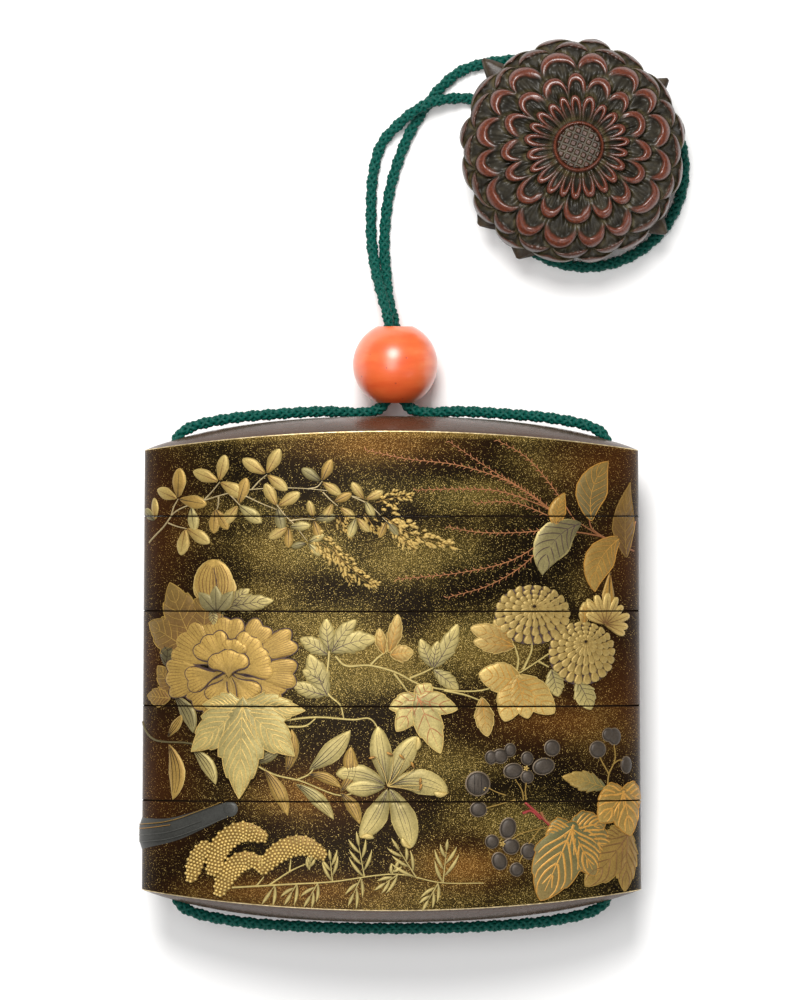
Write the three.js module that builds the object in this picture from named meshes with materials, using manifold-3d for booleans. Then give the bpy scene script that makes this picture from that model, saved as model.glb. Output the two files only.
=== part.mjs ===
// An inro: a flat oval case of five stacked pieces, threaded on a silk cord that carries a coral bead and
// ends in a carved chrysanthemum toggle, the netsuke. It lies on its back, the cord laid out above it.
// Millimetres. +X is the case's right, +Y runs from its base to its lid, +Z is up from what it lies on, and
// the origin is under the middle of the case.
import * as THREE from 'three';
import { mergeVertices } from 'three/addons/utils/BufferGeometryUtils.js';
import Module from 'manifold-3d';

const wasm = await Module();
wasm.setup();

// Outside of the case
const HALF_WIDTH = 40.95; // at y = 0
const TAPER = 0.00017; // share of the width lost for each millimetre towards the lid
const HALF_DEPTH = 14;
const CENTRE_Z = 13.7; // the oval dips 0.3 below z = 0 and is cut flat there, so that the back rests
const SHOULDER_Y = 36.3; // where the side walls end, towards the lid and towards the base
const RIM_RISE = 3.05; // the front and back rims at mid-width, above the shoulders
const LID_RISE = 5.55; // the crest of each dome at mid-width, above the shoulders
const BASE_RISE = 5.35;
const CREST_FULLNESS = 0.4; // 0 gives the crest a parabola, more makes its ends fuller
const SEAM_COUNT = 4;
const SEAM_PITCH = 15.6;
const SEAM_MIDDLE_Y = 1.94;
const SEAM_GAP = 0.16;
const OVAL_SIDES = 32;
const DOME_SCALES = [0.8, 0.45];

// Inside of the case: each tray has a thin riser that slides into a recess under the piece above it
const CAVITY_HALF_WIDTH = 31;
const CAVITY_HALF_DEPTH = 10.7;
const CAVITY_POWER = 3; // 2 is an ellipse, more squares its corners
const INNER_SIDES = 18;
const RISER_WALL = 1.2;
const RISER_HEIGHT = 3.5;
const RISER_CLEARANCE = 0.3;
const FLOOR_THICKNESS = 1.8;
const LID_HOLLOW_Y = 35;
const LID_HOLLOW_TOP_Y = 37.6;
const LID_HOLLOW_TOP_SCALE = 0.8;
const BASE_FLOOR_Y = -36.2;
const CHANNEL_X = 35.7;
const CHANNEL_RADIUS = 1.5;
const CHANNEL_MOUTH_RADIUS = 2.2;
const CHANNEL_MOUTH_DEPTH = 3.2;
const CHANNEL_SIDES = 8;

// Raised figures on the front
const FIGURE_ROOT = 0.5; // how far a figure's body reaches under the lacquer
const FIGURE_EDGE = 0.25;
const FIGURE_CROWN = 0.55;
const BERRY_SIDES = 5;
const SLENDER = 4; // a leaf narrower than this rises straight from the lacquer to its midrib
const LEAF_SETBACK = 0.5; // leaves that grow from one point start this far out from it

// Bead
const BEAD = new THREE.Vector3(0.6, 50.4, 7);
const BEAD_RADIUS = 7;
const BEAD_BORE_RADIUS = 2.45;
const BEAD_MOUTH_RADIUS = 3;
const BEAD_MOUTH_DEPTH = 2;
const BEAD_SIDES = 16;
const BEAD_STEPS = 8;

// Netsuke
const NETSUKE = new THREE.Vector3(29.9, 85.7, 0);
const NETSUKE_RADIUS = 18.9;
const NETSUKE_CROWN_Z = 17.3;
const NETSUKE_RIM_Z = 8.2;
const NETSUKE_FLAT_RADIUS = 6.5;
const CROWN_POWER = 2.6;
const BACK_POWER = 1.6;
const FLOWER_SHIFT = new THREE.Vector2(1.2, 0.7); // the carved flower's middle sits off the toggle's own
const DISC_RADIUS = 4.5;
const DISC_RINGS = [[3.4, -0.5], [4, 0.1]]; // radius, height over the crown
const PETALS = 16;
const PETAL_STEPS = 4;
const PETAL_STEP_DOWN = 1.3; // from the tips of one tier to the roots of the next
const PETAL_TIERS = [
  { tip: 8.6, notch: 2.3, dish: 0.7, lip: 0 },
  { tip: 12.3, notch: 2.7, dish: 0.9, lip: 1.1 },
  { tip: 16.3, notch: 3, dish: 0.9, lip: 1.2 },
  { tip: 17.8, notch: 1.2, dish: 0, lip: 0 },
  { tip: 18.6, notch: 0.5, dish: 0, lip: 0 },
];
const LEAF_TIPS = [ // angle round the toggle in degrees, reach and width of each leaf tip under the flower
  { angle: 134, reach: 21.4, width: 5 },
  { angle: 37, reach: 19.9, width: 5 },
  { angle: -41, reach: 20.8, width: 6 },
  { angle: -142, reach: 19.6, width: 9 },
  { angle: -117, reach: 19.6, width: 9 },
];
const TUNNEL_RADIUS = 1.5;
const TUNNEL_SLOPE = 35; // degrees
const TUNNEL_ANGLES = [150, 196]; // where the two cord holes lie round the back
const TUNNEL_BEND_START = 12.9; // distance from the middle where the cord leaves the floor towards a hole

// Cord
const CORD_RADIUS = 0.9;
const CORD_SIDES = 8;
const CORD_BEND = 3.6; // two diameters
const BEAD_TURN_Y = 46.1; // where the two lengths part under the bead
const CHANNEL_TURN_TOP_Y = 36.55; // where the cord turns into a channel, and out of it again below
const CHANNEL_TURN_FOOT_Y = -36.4;
const LOOP = new THREE.Vector2(32.3, 83); // the round under the netsuke
const LOOP_RADIUS = 16.3;
const LAST_BEND = new THREE.Vector2(18.55, 78.49); // the turn back from the loop towards the second hole
const LAST_BEND_RADIUS = 3.8;

const degrees = THREE.MathUtils.degToRad;

// ---- Solids ----

// A closed solid through rings of equal count. A fan closes the first ring and the last about its middle, or
// about the peak where one is given for the last.
function loft(rings, peak) {
  const positions = [];
  const index = [];
  const count = rings[0].length;
  for (const ring of rings) {
    for (const point of ring) positions.push(point.x, point.y, point.z);
  }
  for (let level = 0; level + 1 < rings.length; level += 1) {
    for (let side = 0; side < count; side += 1) {
      const next = (side + 1) % count;
      const low = level * count;
      const high = low + count;
      index.push(low + side, low + next, high + next);
      index.push(low + side, high + next, high + side);
    }
  }
  for (const [level, turned] of [[0, true], [rings.length - 1, false]]) {
    const middle = new THREE.Vector3();
    for (const point of rings[level]) middle.addScaledVector(point, 1 / count);
    if (peak && !turned) middle.copy(peak);
    const hub = positions.length / 3;
    positions.push(middle.x, middle.y, middle.z);
    for (let side = 0; side < count; side += 1) {
      const here = level * count + side;
      const next = level * count + ((side + 1) % count);
      if (turned) index.push(hub, next, here);
      else index.push(hub, here, next);
    }
  }
  const geometry = new THREE.BufferGeometry();
  geometry.setAttribute('position', new THREE.Float32BufferAttribute(positions, 3));
  geometry.setIndex(index);
  return geometry;
}

function solidOf(geometry) {
  geometry.deleteAttribute('normal');
  geometry.deleteAttribute('uv');
  const merged = mergeVertices(geometry, 1e-5);
  const solid = new wasm.Manifold(new wasm.Mesh({
    numProp: 3,
    vertProperties: new Float32Array(merged.attributes.position.array),
    triVerts: new Uint32Array(merged.index.array),
  }));
  return solid.volume() < 0 ? solidOf(reversed(merged)) : solid;
}

function reversed(geometry) {
  const index = Array.from(geometry.index.array);
  for (let corner = 0; corner < index.length; corner += 3) {
    [index[corner], index[corner + 1]] = [index[corner + 1], index[corner]];
  }
  geometry.setIndex(index);
  return geometry;
}

function geometryOf(solid) {
  const mesh = solid.getMesh();
  const geometry = new THREE.BufferGeometry();
  geometry.setAttribute('position', new THREE.BufferAttribute(mesh.vertProperties, 3));
  geometry.setIndex(new THREE.BufferAttribute(mesh.triVerts, 1));
  geometry.computeVertexNormals();
  return geometry;
}

// ---- The case ----

const halfWidth = (y) => HALF_WIDTH * (1 - TAPER * y);

function ovalRing(y, halfX, halfZ, sides, power) {
  const ring = [];
  for (let side = 0; side < sides; side += 1) {
    const turn = (2 * Math.PI * side) / sides;
    const across = Math.sign(Math.cos(turn)) * Math.abs(Math.cos(turn)) ** (2 / power);
    const up = Math.sign(Math.sin(turn)) * Math.abs(Math.sin(turn)) ** (2 / power);
    ring.push(new THREE.Vector3(halfX * across, y, CENTRE_Z + halfZ * up));
  }
  return ring;
}

// The outer oval at one height or, scaled down, on a dome: heightAt(across, up) then gives each point its y.
function outerRing(scale, heightAt) {
  return ovalRing(0, scale, scale, OVAL_SIDES, 2).map(({ x: across, z }) => {
    const up = z - CENTRE_Z;
    const y = heightAt(across, up);
    return new THREE.Vector3(halfWidth(y) * across, y, Math.max(CENTRE_Z + HALF_DEPTH * up, 0));
  });
}

// Height of a dome over the shoulder, where across and up run from -1 to 1 over the oval.
function domeRise(across, up, rise) {
  const square = across ** 2;
  const crest = rise * (1 - (1 - CREST_FULLNESS) * square - CREST_FULLNESS * square ** 2);
  const rim = RIM_RISE * (1 - square);
  const share = square < 1 ? Math.min(up ** 2 / (1 - square), 1) : 1;
  return crest - (crest - rim) * share;
}

function domeRings(rise, direction) {
  return [1, ...DOME_SCALES].map((scale) => (
    outerRing(scale, (across, up) => direction * (SHOULDER_Y + domeRise(across, up, rise)))
  ));
}

const innerRing = (y, grow, scale = 1) => (
  ovalRing(y, scale * CAVITY_HALF_WIDTH + grow, scale * CAVITY_HALF_DEPTH + grow, INNER_SIDES, CAVITY_POWER)
);

function channelCuts() {
  const cuts = [];
  for (const side of [-1, 1]) {
    const length = 4 * SHOULDER_Y;
    const bore = new THREE.CylinderGeometry(CHANNEL_RADIUS, CHANNEL_RADIUS, length, CHANNEL_SIDES);
    cuts.push(solidOf(bore.translate(side * CHANNEL_X, 0, CENTRE_Z)));
    for (const end of [-1, 1]) {
      const wide = CHANNEL_MOUTH_RADIUS;
      const radii = end > 0 ? [wide, CHANNEL_RADIUS] : [CHANNEL_RADIUS, wide];
      const mouth = new THREE.CylinderGeometry(...radii, CHANNEL_MOUTH_DEPTH, CHANNEL_SIDES);
      const y = end * (SHOULDER_Y + CHANNEL_MOUTH_DEPTH / 2);
      cuts.push(solidOf(mouth.translate(side * CHANNEL_X, y, CENTRE_Z)));
    }
  }
  return cuts;
}

// Piece 0 is the lid and piece SEAM_COUNT is the base.
function casePiece(number, figures, cuts) {
  const seamY = (seam) => SEAM_MIDDLE_Y + SEAM_PITCH * ((SEAM_COUNT - 1) / 2 - seam);
  const isLid = number === 0;
  const isBase = number === SEAM_COUNT;
  const topY = isLid ? Infinity : seamY(number - 1) - SEAM_GAP / 2;
  const bottomY = isBase ? -Infinity : seamY(number) + SEAM_GAP / 2;
  const flatRing = (y) => outerRing(1, () => y);
  const lower = isBase ? domeRings(BASE_RISE, -1).reverse() : [flatRing(bottomY)];
  const upper = isLid ? domeRings(LID_RISE, 1) : [flatRing(topY)];
  let piece = solidOf(loft([...lower, ...upper]));

  const slabBottom = isBase ? -2 * SHOULDER_Y : bottomY;
  const slabTop = isLid ? 2 * SHOULDER_Y : topY;
  const slab = new THREE.BoxGeometry(4 * HALF_WIDTH, slabTop - slabBottom, 4 * HALF_DEPTH);
  slab.translate(0, (slabTop + slabBottom) / 2, CENTRE_Z);
  piece = piece.add(figures.intersect(solidOf(slab)));

  if (!isLid) {
    const riserFoot = innerRing(topY - FLOOR_THICKNESS, RISER_WALL);
    const riserTop = innerRing(topY + RISER_HEIGHT, RISER_WALL);
    piece = piece.add(solidOf(loft([riserFoot, riserTop])));
  }
  const recessTop = bottomY + RISER_HEIGHT + RISER_CLEARANCE;
  if (!isBase) {
    const grow = RISER_WALL + RISER_CLEARANCE;
    piece = piece.subtract(solidOf(loft([innerRing(bottomY - 1, grow), innerRing(recessTop, grow)])));
  }
  if (isLid) {
    const hollow = [innerRing(bottomY, 0), innerRing(LID_HOLLOW_Y, 0)];
    hollow.push(innerRing(LID_HOLLOW_TOP_Y, 0, LID_HOLLOW_TOP_SCALE));
    piece = piece.subtract(solidOf(loft(hollow)));
  } else {
    const floorY = isBase ? BASE_FLOOR_Y : recessTop + FLOOR_THICKNESS;
    piece = piece.subtract(solidOf(loft([innerRing(floorY, 0), innerRing(topY + 2 * RISER_HEIGHT, 0)])));
  }
  for (const cut of cuts) piece = piece.subtract(cut);
  return piece;
}

// ---- Raised figures on the front ----

// The point of the front at x and y, lifted by height along the wall's own normal.
function onFront(x, y, height) {
  const half = halfWidth(y);
  const share = THREE.MathUtils.clamp(x / half, -0.97, 0.97);
  const up = Math.sqrt(1 - share ** 2);
  const normal = new THREE.Vector3(share / half, 0, up / HALF_DEPTH).normalize();
  return new THREE.Vector3(share * half, y, CENTRE_Z + HALF_DEPTH * up).addScaledVector(normal, height);
}

// A low plate on the front with the outline given. It rises to a peak over its middle, by way of a smaller
// ring of the same outline where a step is given.
function plate(outline, middle, crown, step, edge = FIGURE_EDGE) {
  const ringAt = (scale, height) => outline.map(([x, y]) => (
    onFront(middle[0] + scale * (x - middle[0]), middle[1] + scale * (y - middle[1]), height)
  ));
  const rings = edge > 0 ? [ringAt(1, -FIGURE_ROOT), ringAt(1, edge)] : [ringAt(1, -0.1)];
  if (step) rings.push(ringAt(step, 0.8 * crown));
  return solidOf(loft(rings, onFront(...middle, crown)));
}

// A pointed oval leaf or petal that grows from x, y along its heading in degrees.
function blade([x, y, length, width, heading]) {
  const along = new THREE.Vector2(Math.cos(degrees(heading)), Math.sin(degrees(heading)));
  const at = (u, v) => [x + along.x * u - along.y * v, y + along.y * u + along.x * v];
  const belly = 0.35 * length;
  const neck = 0.75 * length;
  const outline = [at(LEAF_SETBACK, 0), at(belly, -width / 2), at(neck, -0.35 * width), at(length, 0)];
  outline.push(at(neck, 0.35 * width), at(belly, width / 2));
  return plate(outline, at(0.45 * length, 0), FIGURE_CROWN, 0, width < SLENDER ? 0 : FIGURE_EDGE);
}

// A round flower with a scalloped edge.
function bloom([x, y, halfX, halfY, lobes]) {
  const outline = [];
  for (let step = 0; step < 2 * lobes; step += 1) {
    const turn = (Math.PI * step) / lobes;
    const reach = step % 2 ? 0.86 : 1;
    outline.push([x + halfX * reach * Math.cos(turn), y + halfY * reach * Math.sin(turn)]);
  }
  return plate(outline, [x, y], 1.6 * FIGURE_CROWN, 0.6);
}

function berry([x, y, radius]) {
  const outline = [];
  for (let step = 0; step < BERRY_SIDES; step += 1) {
    const turn = (2 * Math.PI * step) / BERRY_SIDES;
    outline.push([x + radius * Math.cos(turn), y + radius * Math.sin(turn)]);
  }
  return plate(outline, [x, y], 1.6 * FIGURE_CROWN);
}

// Leaves fanned about one point, the middle one the longest.
function fan(x, y, count, length, width, heading, spread) {
  const leaves = [];
  for (let place = 0; place < count; place += 1) {
    const off = count > 1 ? (2 * place) / (count - 1) - 1 : 0;
    leaves.push([x, y, length * (1 - 0.22 * off ** 2), width, heading + off * spread]);
  }
  return leaves;
}

// Pairs of leaves along a curved stem.
function leafyStem(points, pairs, length, width, spread) {
  const stem = new THREE.SplineCurve(points.map(([x, y]) => new THREE.Vector2(x, y)));
  const leaves = [];
  for (let pair = 0; pair < pairs; pair += 1) {
    const share = (pair + 0.5) / pairs;
    const root = stem.getPoint(share);
    const ahead = THREE.MathUtils.radToDeg(stem.getTangent(share).angle());
    for (const side of [-1, 1]) leaves.push([root.x, root.y, length, width, ahead + side * spread]);
  }
  return leaves;
}

function frontFigures() {
  const leaves = [
    ...leafyStem([[-38.5, 22], [-29, 28], [-10, 29.6], [2, 27]], 5, 6, 3.4, 58),
    ...fan(31.5, 24.5, 2, 8.5, 5, 85, 30), // leaves at the upper right
    ...fan(31, 23, 1, 8.5, 5, -120, 0),
    ...fan(-28.6, 11.5, 3, 8, 5.4, 92, 30), // peony bud
    ...fan(-33.5, 7, 2, 7, 5.5, 140, 30), // peony leaves
    ...fan(-23.3, -2.5, 5, 15, 6, -90, 62), // large lobed leaf
    ...fan(-10, 7, 3, 9.5, 5, -110, 48), // pale leaf
    ...fan(8, -2, 2, 9, 5, -95, 24),
    ...fan(21, 0, 3, 8, 5.4, -85, 55), // leaf under the pompons
    ...fan(0.5, -17.5, 6, 8.8, 3.8, -60, 150), // lily
    ...fan(-9, -18, 2, 11, 3.2, 165, 14), // lily leaves
    ...fan(32, -23, 2, 13, 8, -125, 22), // vine leaves
    ...fan(37, -22.5, 2, 8, 5.5, 180, 75),
    [-38.6, -25.2, 13.5, 3.4, 12], // cut branch
    [-32.2, -28.4, 8.5, 4.6, -92], // millet heads
    [-20, -28, 11.5, 4.2, 192],
    [-20.5, -33.8, 11, 4.4, 190],
    [-9.2, -31, 11.5, 4.2, 184],
  ];
  const blooms = [
    [-25.8, 2.4, 12, 7.6, 7], // peony
    [22.9, 9.5, 6.6, 6, 8], // pompon chrysanthemums
    [31.3, 3.4, 5.8, 5.8, 8],
  ];
  const berries = [];
  for (const [x, y] of [[21.2, -13.6], [18.6, -27], [34.6, -11.6]]) {
    for (let place = 0; place < 3; place += 1) {
      const turn = (2 * Math.PI * (place + 0.25)) / 3;
      berries.push([x + 2.2 * Math.cos(turn), y + 2.2 * Math.sin(turn), 1.3]);
    }
  }
  const solids = [...leaves.map(blade), ...blooms.map(bloom), ...berries.map(berry)];
  return solids.reduce((all, solid) => all.add(solid));
}

// ---- The bead ----

function beadGeometry() {
  const mouthY = Math.sqrt(BEAD_RADIUS ** 2 - BEAD_MOUTH_RADIUS ** 2);
  const mouthTurn = Math.asin(BEAD_MOUTH_RADIUS / BEAD_RADIUS);
  const profile = [];
  for (let step = 0; step <= BEAD_STEPS; step += 1) {
    const turn = mouthTurn + ((Math.PI - 2 * mouthTurn) * step) / BEAD_STEPS;
    profile.push(new THREE.Vector2(BEAD_RADIUS * Math.sin(turn), -BEAD_RADIUS * Math.cos(turn)));
  }
  profile.push(new THREE.Vector2(BEAD_BORE_RADIUS, mouthY - BEAD_MOUTH_DEPTH));
  profile.push(new THREE.Vector2(BEAD_BORE_RADIUS, -mouthY + BEAD_MOUTH_DEPTH));
  profile.push(profile[0].clone());
  return new THREE.LatheGeometry(profile, BEAD_SIDES);
}

// ---- The netsuke ----

const crownZ = (radius) => (
  NETSUKE_RIM_Z + (NETSUKE_CROWN_Z - NETSUKE_RIM_Z) * Math.sqrt(1 - (radius / NETSUKE_RADIUS) ** CROWN_POWER)
);

function backZ(radius) {
  const beyondFlat = Math.max(radius - NETSUKE_FLAT_RADIUS, 0);
  return NETSUKE_RIM_Z * (beyondFlat / (NETSUKE_RADIUS - NETSUKE_FLAT_RADIUS)) ** BACK_POWER;
}

// 0 along the middle of a petal and 1 between two. Petals of one tier stand between those of the next.
function besidePetal(turn, tier) {
  const place = (turn * PETALS) / (2 * Math.PI) + (tier % 2) / 2;
  return Math.abs(2 * (place - Math.floor(place)) - 1);
}

function petalEdge(turn, tier) {
  if (tier < 0) return DISC_RADIUS;
  const { tip, notch } = PETAL_TIERS[tier];
  const beside = 0.97 * besidePetal(turn, tier);
  return tip - notch * (1 - Math.sqrt(1 - beside ** 2)) / (1 - Math.sqrt(1 - 0.97 ** 2));
}

function netsukeRing(radiusAt, heightAt) {
  const ring = [];
  const count = PETALS * PETAL_STEPS;
  for (let step = 0; step < count; step += 1) {
    const turn = (2 * Math.PI * step) / count;
    const radius = radiusAt(turn);
    const shift = Math.max(1 - radius / NETSUKE_RADIUS, 0);
    const x = radius * Math.cos(turn) + FLOWER_SHIFT.x * shift;
    const y = radius * Math.sin(turn) + FLOWER_SHIFT.y * shift;
    ring.push(new THREE.Vector3(x, y, heightAt(radius, turn)));
  }
  return ring;
}

function flowerRings() {
  const rings = DISC_RINGS.map(([radius, over]) => netsukeRing(() => radius, () => NETSUKE_CROWN_Z + over));
  PETAL_TIERS.forEach(({ tip, dish, lip }, tier) => {
    const root = (turn) => petalEdge(turn, tier - 1) + 0.1;
    const edge = (turn) => petalEdge(turn, tier);
    rings.push(netsukeRing(root, (radius) => crownZ(radius) - PETAL_STEP_DOWN));
    if (dish > 0) {
      const middle = (turn) => (root(turn) + edge(turn)) / 2;
      const dished = (radius, turn) => crownZ(radius) - dish * (1 - besidePetal(turn, tier) ** 2);
      rings.push(netsukeRing(middle, dished));
    }
    if (lip > 0) rings.push(netsukeRing((turn) => edge(turn) - lip, crownZ));
    rings.push(netsukeRing(edge, () => crownZ(tip) - 0.1));
  });
  return rings;
}

function backRings() {
  return [18.2, 12.5].map((radius) => netsukeRing(() => radius, backZ))
    .concat([netsukeRing(() => NETSUKE_FLAT_RADIUS, () => 0)]);
}

function leafTip({ angle, reach, width }) {
  const inner = 0.6 * NETSUKE_RADIUS;
  const outline = [[inner, -width / 2], [0.86 * reach, -width / 2], [0.95 * reach, -width / 4]];
  outline.push([reach, 0], [0.95 * reach, width / 4], [0.86 * reach, width / 2], [inner, width / 2]);
  const ringAt = (z) => outline.map(([along, across]) => new THREE.Vector3(along, across, z));
  const tip = loft([ringAt(NETSUKE_RIM_Z - 1.2), ringAt(NETSUKE_RIM_Z + 0.8)]);
  return tip.rotateZ(degrees(angle));
}

// The line that the cord follows into the back: along the floor, up a short bend and into a straight tunnel.
function tunnelPoint(angle, radius) {
  const bendEnd = TUNNEL_BEND_START - CORD_BEND * Math.sin(degrees(TUNNEL_SLOPE));
  const rise = CORD_BEND * (1 - Math.cos(degrees(TUNNEL_SLOPE)));
  const turned = Math.asin(THREE.MathUtils.clamp((TUNNEL_BEND_START - radius) / CORD_BEND, 0, 1));
  const onBend = CORD_BEND * (1 - Math.cos(turned));
  const onSlope = rise + (bendEnd - radius) * Math.tan(degrees(TUNNEL_SLOPE));
  const x = NETSUKE.x + radius * Math.cos(degrees(angle));
  const y = NETSUKE.y + radius * Math.sin(degrees(angle));
  return new THREE.Vector3(x, y, CORD_RADIUS + (radius > bendEnd ? onBend : onSlope));
}

function tunnel(angle) {
  const outer = tunnelPoint(angle, 10).lerp(tunnelPoint(angle, 6), -0.9);
  const inner = tunnelPoint(angle, 0);
  const length = outer.distanceTo(inner);
  const bore = new THREE.CylinderGeometry(TUNNEL_RADIUS, TUNNEL_RADIUS, length, CHANNEL_SIDES);
  const turned = new THREE.Quaternion().setFromUnitVectors(
    new THREE.Vector3(0, 1, 0),
    inner.clone().sub(outer).normalize(),
  );
  const middle = inner.clone().add(outer).multiplyScalar(0.5);
  return bore.applyQuaternion(turned).translate(middle.x, middle.y, middle.z);
}

function netsukeSolid() {
  let solid = solidOf(loft([...flowerRings(), ...backRings()]));
  for (const tip of LEAF_TIPS) solid = solid.add(solidOf(leafTip(tip)));
  for (const angle of TUNNEL_ANGLES) {
    const bore = tunnel(angle).translate(-NETSUKE.x, -NETSUKE.y, -NETSUKE.z);
    solid = solid.subtract(solidOf(bore));
  }
  return solid;
}

// ---- The cord ----

// Points on a level arc, from one angle in degrees to another.
function arc(x, y, radius, from, to, steps, z) {
  const points = [];
  for (let step = 0; step <= steps; step += 1) {
    const turn = degrees(from + ((to - from) * step) / steps);
    points.push(new THREE.Vector3(x + radius * Math.cos(turn), y + radius * Math.sin(turn), z));
  }
  return points;
}

const placed = (points) => points.map(([x, y, z]) => new THREE.Vector3(x, y, z));

// The length from the bead's mouth over one side of the lid and down that side's channel.
function sideRun(side) {
  const across = (points) => points.map((point) => new THREE.Vector3(side * point.x, point.y, point.z));
  const run = placed([[11, 42.65, 8.9], [19, 42.2, 11.2], [27, 41.4, 13.2]]);
  const turnX = CHANNEL_X - CORD_BEND;
  const mouth = arc(turnX, CHANNEL_TURN_TOP_Y, CORD_BEND, 75, 0, 2, CENTRE_Z);
  const foot = arc(turnX, CHANNEL_TURN_FOOT_Y, CORD_BEND, 0, -75, 2, CENTRE_Z);
  const under = placed([[26, -41.45, CENTRE_Z], [14, -42.4, CENTRE_Z]]);
  return across([...run, ...mouth, ...foot, ...under]);
}

// One continuous cord: out of the netsuke, through the bead, round the case, back through the bead, once
// round under the netsuke and into it again.
function cordRoute() {
  const beadTurn = 1 + CORD_BEND;
  const [firstHole, lastHole] = TUNNEL_ANGLES;
  const intoHole = [TUNNEL_BEND_START, 10.8, 6];
  const leftStrand = [
    [16, 93.7, 0.9], [13, 94.6, 1.1], [9.7, 94.6, 2.2], [6.6, 93.95, 2.8], [4, 92.65, 2.8],
    [1.2, 90.4, 1.8], [-1.7, 87, 0.92], [-3.1, 81.8, 0.9], [-3.4, 76, 0.9], [-3.3, 70.7, 1],
    [-2.5, 65.5, 3.1], [-1.4, 61.3, 6.2], [-0.5, 57.6, 7.85], [-0.55, 51, 7.5],
  ];
  const rightStrand = [
    [1.6, 51, 6.4], [0.4, 57.6, 5.8], [-0.5, 61.3, 4.2], [-0.9, 65.5, 1.9], [-1.2, 70.7, 0.9],
    [-0.6, 77.7, 0.9], [0.8, 83.4, 0.9], [3.2, 89.3, 0.9], [6.1, 93.9, 0.9], [8.3, 96.6, 0.9],
    [11.5, 99.2, 0.9], [16, 100.6, 0.9], [21.5, 101.1, 0.9], [27, 100.7, 0.9], [31.8, 99.6, 0.9],
  ];
  return [
    ...[...intoHole].reverse().map((radius) => tunnelPoint(firstHole, radius)),
    ...placed(leftStrand),
    ...arc(BEAD.x - beadTurn, BEAD_TURN_Y, CORD_BEND, 0, -90, 2, BEAD.z),
    ...sideRun(-1),
    new THREE.Vector3(0, -42.7, CENTRE_Z),
    ...sideRun(1).reverse(),
    ...arc(BEAD.x + beadTurn, BEAD_TURN_Y, CORD_BEND, -90, -180, 2, BEAD.z),
    ...placed(rightStrand),
    ...arc(LOOP.x, LOOP.y, LOOP_RADIUS, 75, -133, 10, CORD_RADIUS),
    ...arc(LAST_BEND.x, LAST_BEND.y, LAST_BEND_RADIUS, 228, 106, 4, CORD_RADIUS),
    ...intoHole.slice(1).map((radius) => tunnelPoint(lastHole, radius)),
  ];
}

// A smooth curve through the route whose steps fall on the route's own points.
class RouteCurve extends THREE.CatmullRomCurve3 {
  getPointAt(share, target) {
    return this.getPoint(share, target);
  }

  getTangentAt(share, target) {
    return this.getTangent(share, target);
  }

  getSpacedPoints(count) {
    return this.getPoints(count);
  }
}

function cordGeometry() {
  const route = cordRoute();
  const section = new THREE.Shape();
  for (let side = 0; side < CORD_SIDES; side += 1) {
    const turn = (2 * Math.PI * side) / CORD_SIDES;
    const x = CORD_RADIUS * Math.cos(turn);
    const y = CORD_RADIUS * Math.sin(turn);
    if (side === 0) section.moveTo(x, y);
    else section.lineTo(x, y);
  }
  return new THREE.ExtrudeGeometry(section, {
    steps: route.length - 1,
    extrudePath: new RouteCurve(route, false, 'centripetal'),
    bevelEnabled: false,
  });
}

// ---- The parts ----

const lacquer = { color: 0x5c4526, roughness: 0.34, metalness: 0.35 };
const coral = { color: 0xe4623a, roughness: 0.28, metalness: 0 };
const carvedWood = { color: 0x4b3026, roughness: 0.42, metalness: 0 };
const silk = { color: 0x0d5546, roughness: 0.75, metalness: 0 };

const inro = new THREE.Group();

function add(name, geometry, finish) {
  const mesh = new THREE.Mesh(geometry, new THREE.MeshStandardMaterial(finish));
  mesh.name = name;
  inro.add(mesh);
  return mesh;
}

const figures = frontFigures();
const cuts = channelCuts();
for (let number = 0; number <= SEAM_COUNT; number += 1) {
  const name = number === 0 ? 'lid' : `case_${number}`;
  add(name, geometryOf(casePiece(number, figures, cuts)), lacquer);
}
add('bead', beadGeometry(), coral).position.copy(BEAD);
add('netsuke', geometryOf(netsukeSolid()), carvedWood).position.copy(NETSUKE);
add('cord', cordGeometry(), silk);

export default inro;
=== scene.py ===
"""An inro with its netsuke, bead and cord: the looks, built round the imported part. Metres in Blender, +Z up.
Lengths below are millimetres, and mesh_piece() turns them into metres."""
import math
import random
from contextlib import contextmanager

import bmesh
import bpy
import numpy as np
from mathutils import Matrix, Vector


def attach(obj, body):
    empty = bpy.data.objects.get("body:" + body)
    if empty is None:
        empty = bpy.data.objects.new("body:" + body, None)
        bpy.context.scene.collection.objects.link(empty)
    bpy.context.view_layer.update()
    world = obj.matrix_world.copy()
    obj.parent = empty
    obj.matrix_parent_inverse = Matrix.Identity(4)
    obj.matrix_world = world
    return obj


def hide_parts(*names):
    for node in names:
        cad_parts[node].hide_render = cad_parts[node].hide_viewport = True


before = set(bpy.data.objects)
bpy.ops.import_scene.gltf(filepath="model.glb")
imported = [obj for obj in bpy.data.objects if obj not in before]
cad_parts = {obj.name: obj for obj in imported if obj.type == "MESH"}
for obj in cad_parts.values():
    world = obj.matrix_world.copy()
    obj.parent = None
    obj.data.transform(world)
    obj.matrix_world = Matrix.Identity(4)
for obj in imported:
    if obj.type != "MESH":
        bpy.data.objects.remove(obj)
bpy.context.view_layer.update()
scene = bpy.context.scene
scene.view_settings.view_transform = "Standard"

MM = 0.001
TAU = 2 * math.pi

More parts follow.
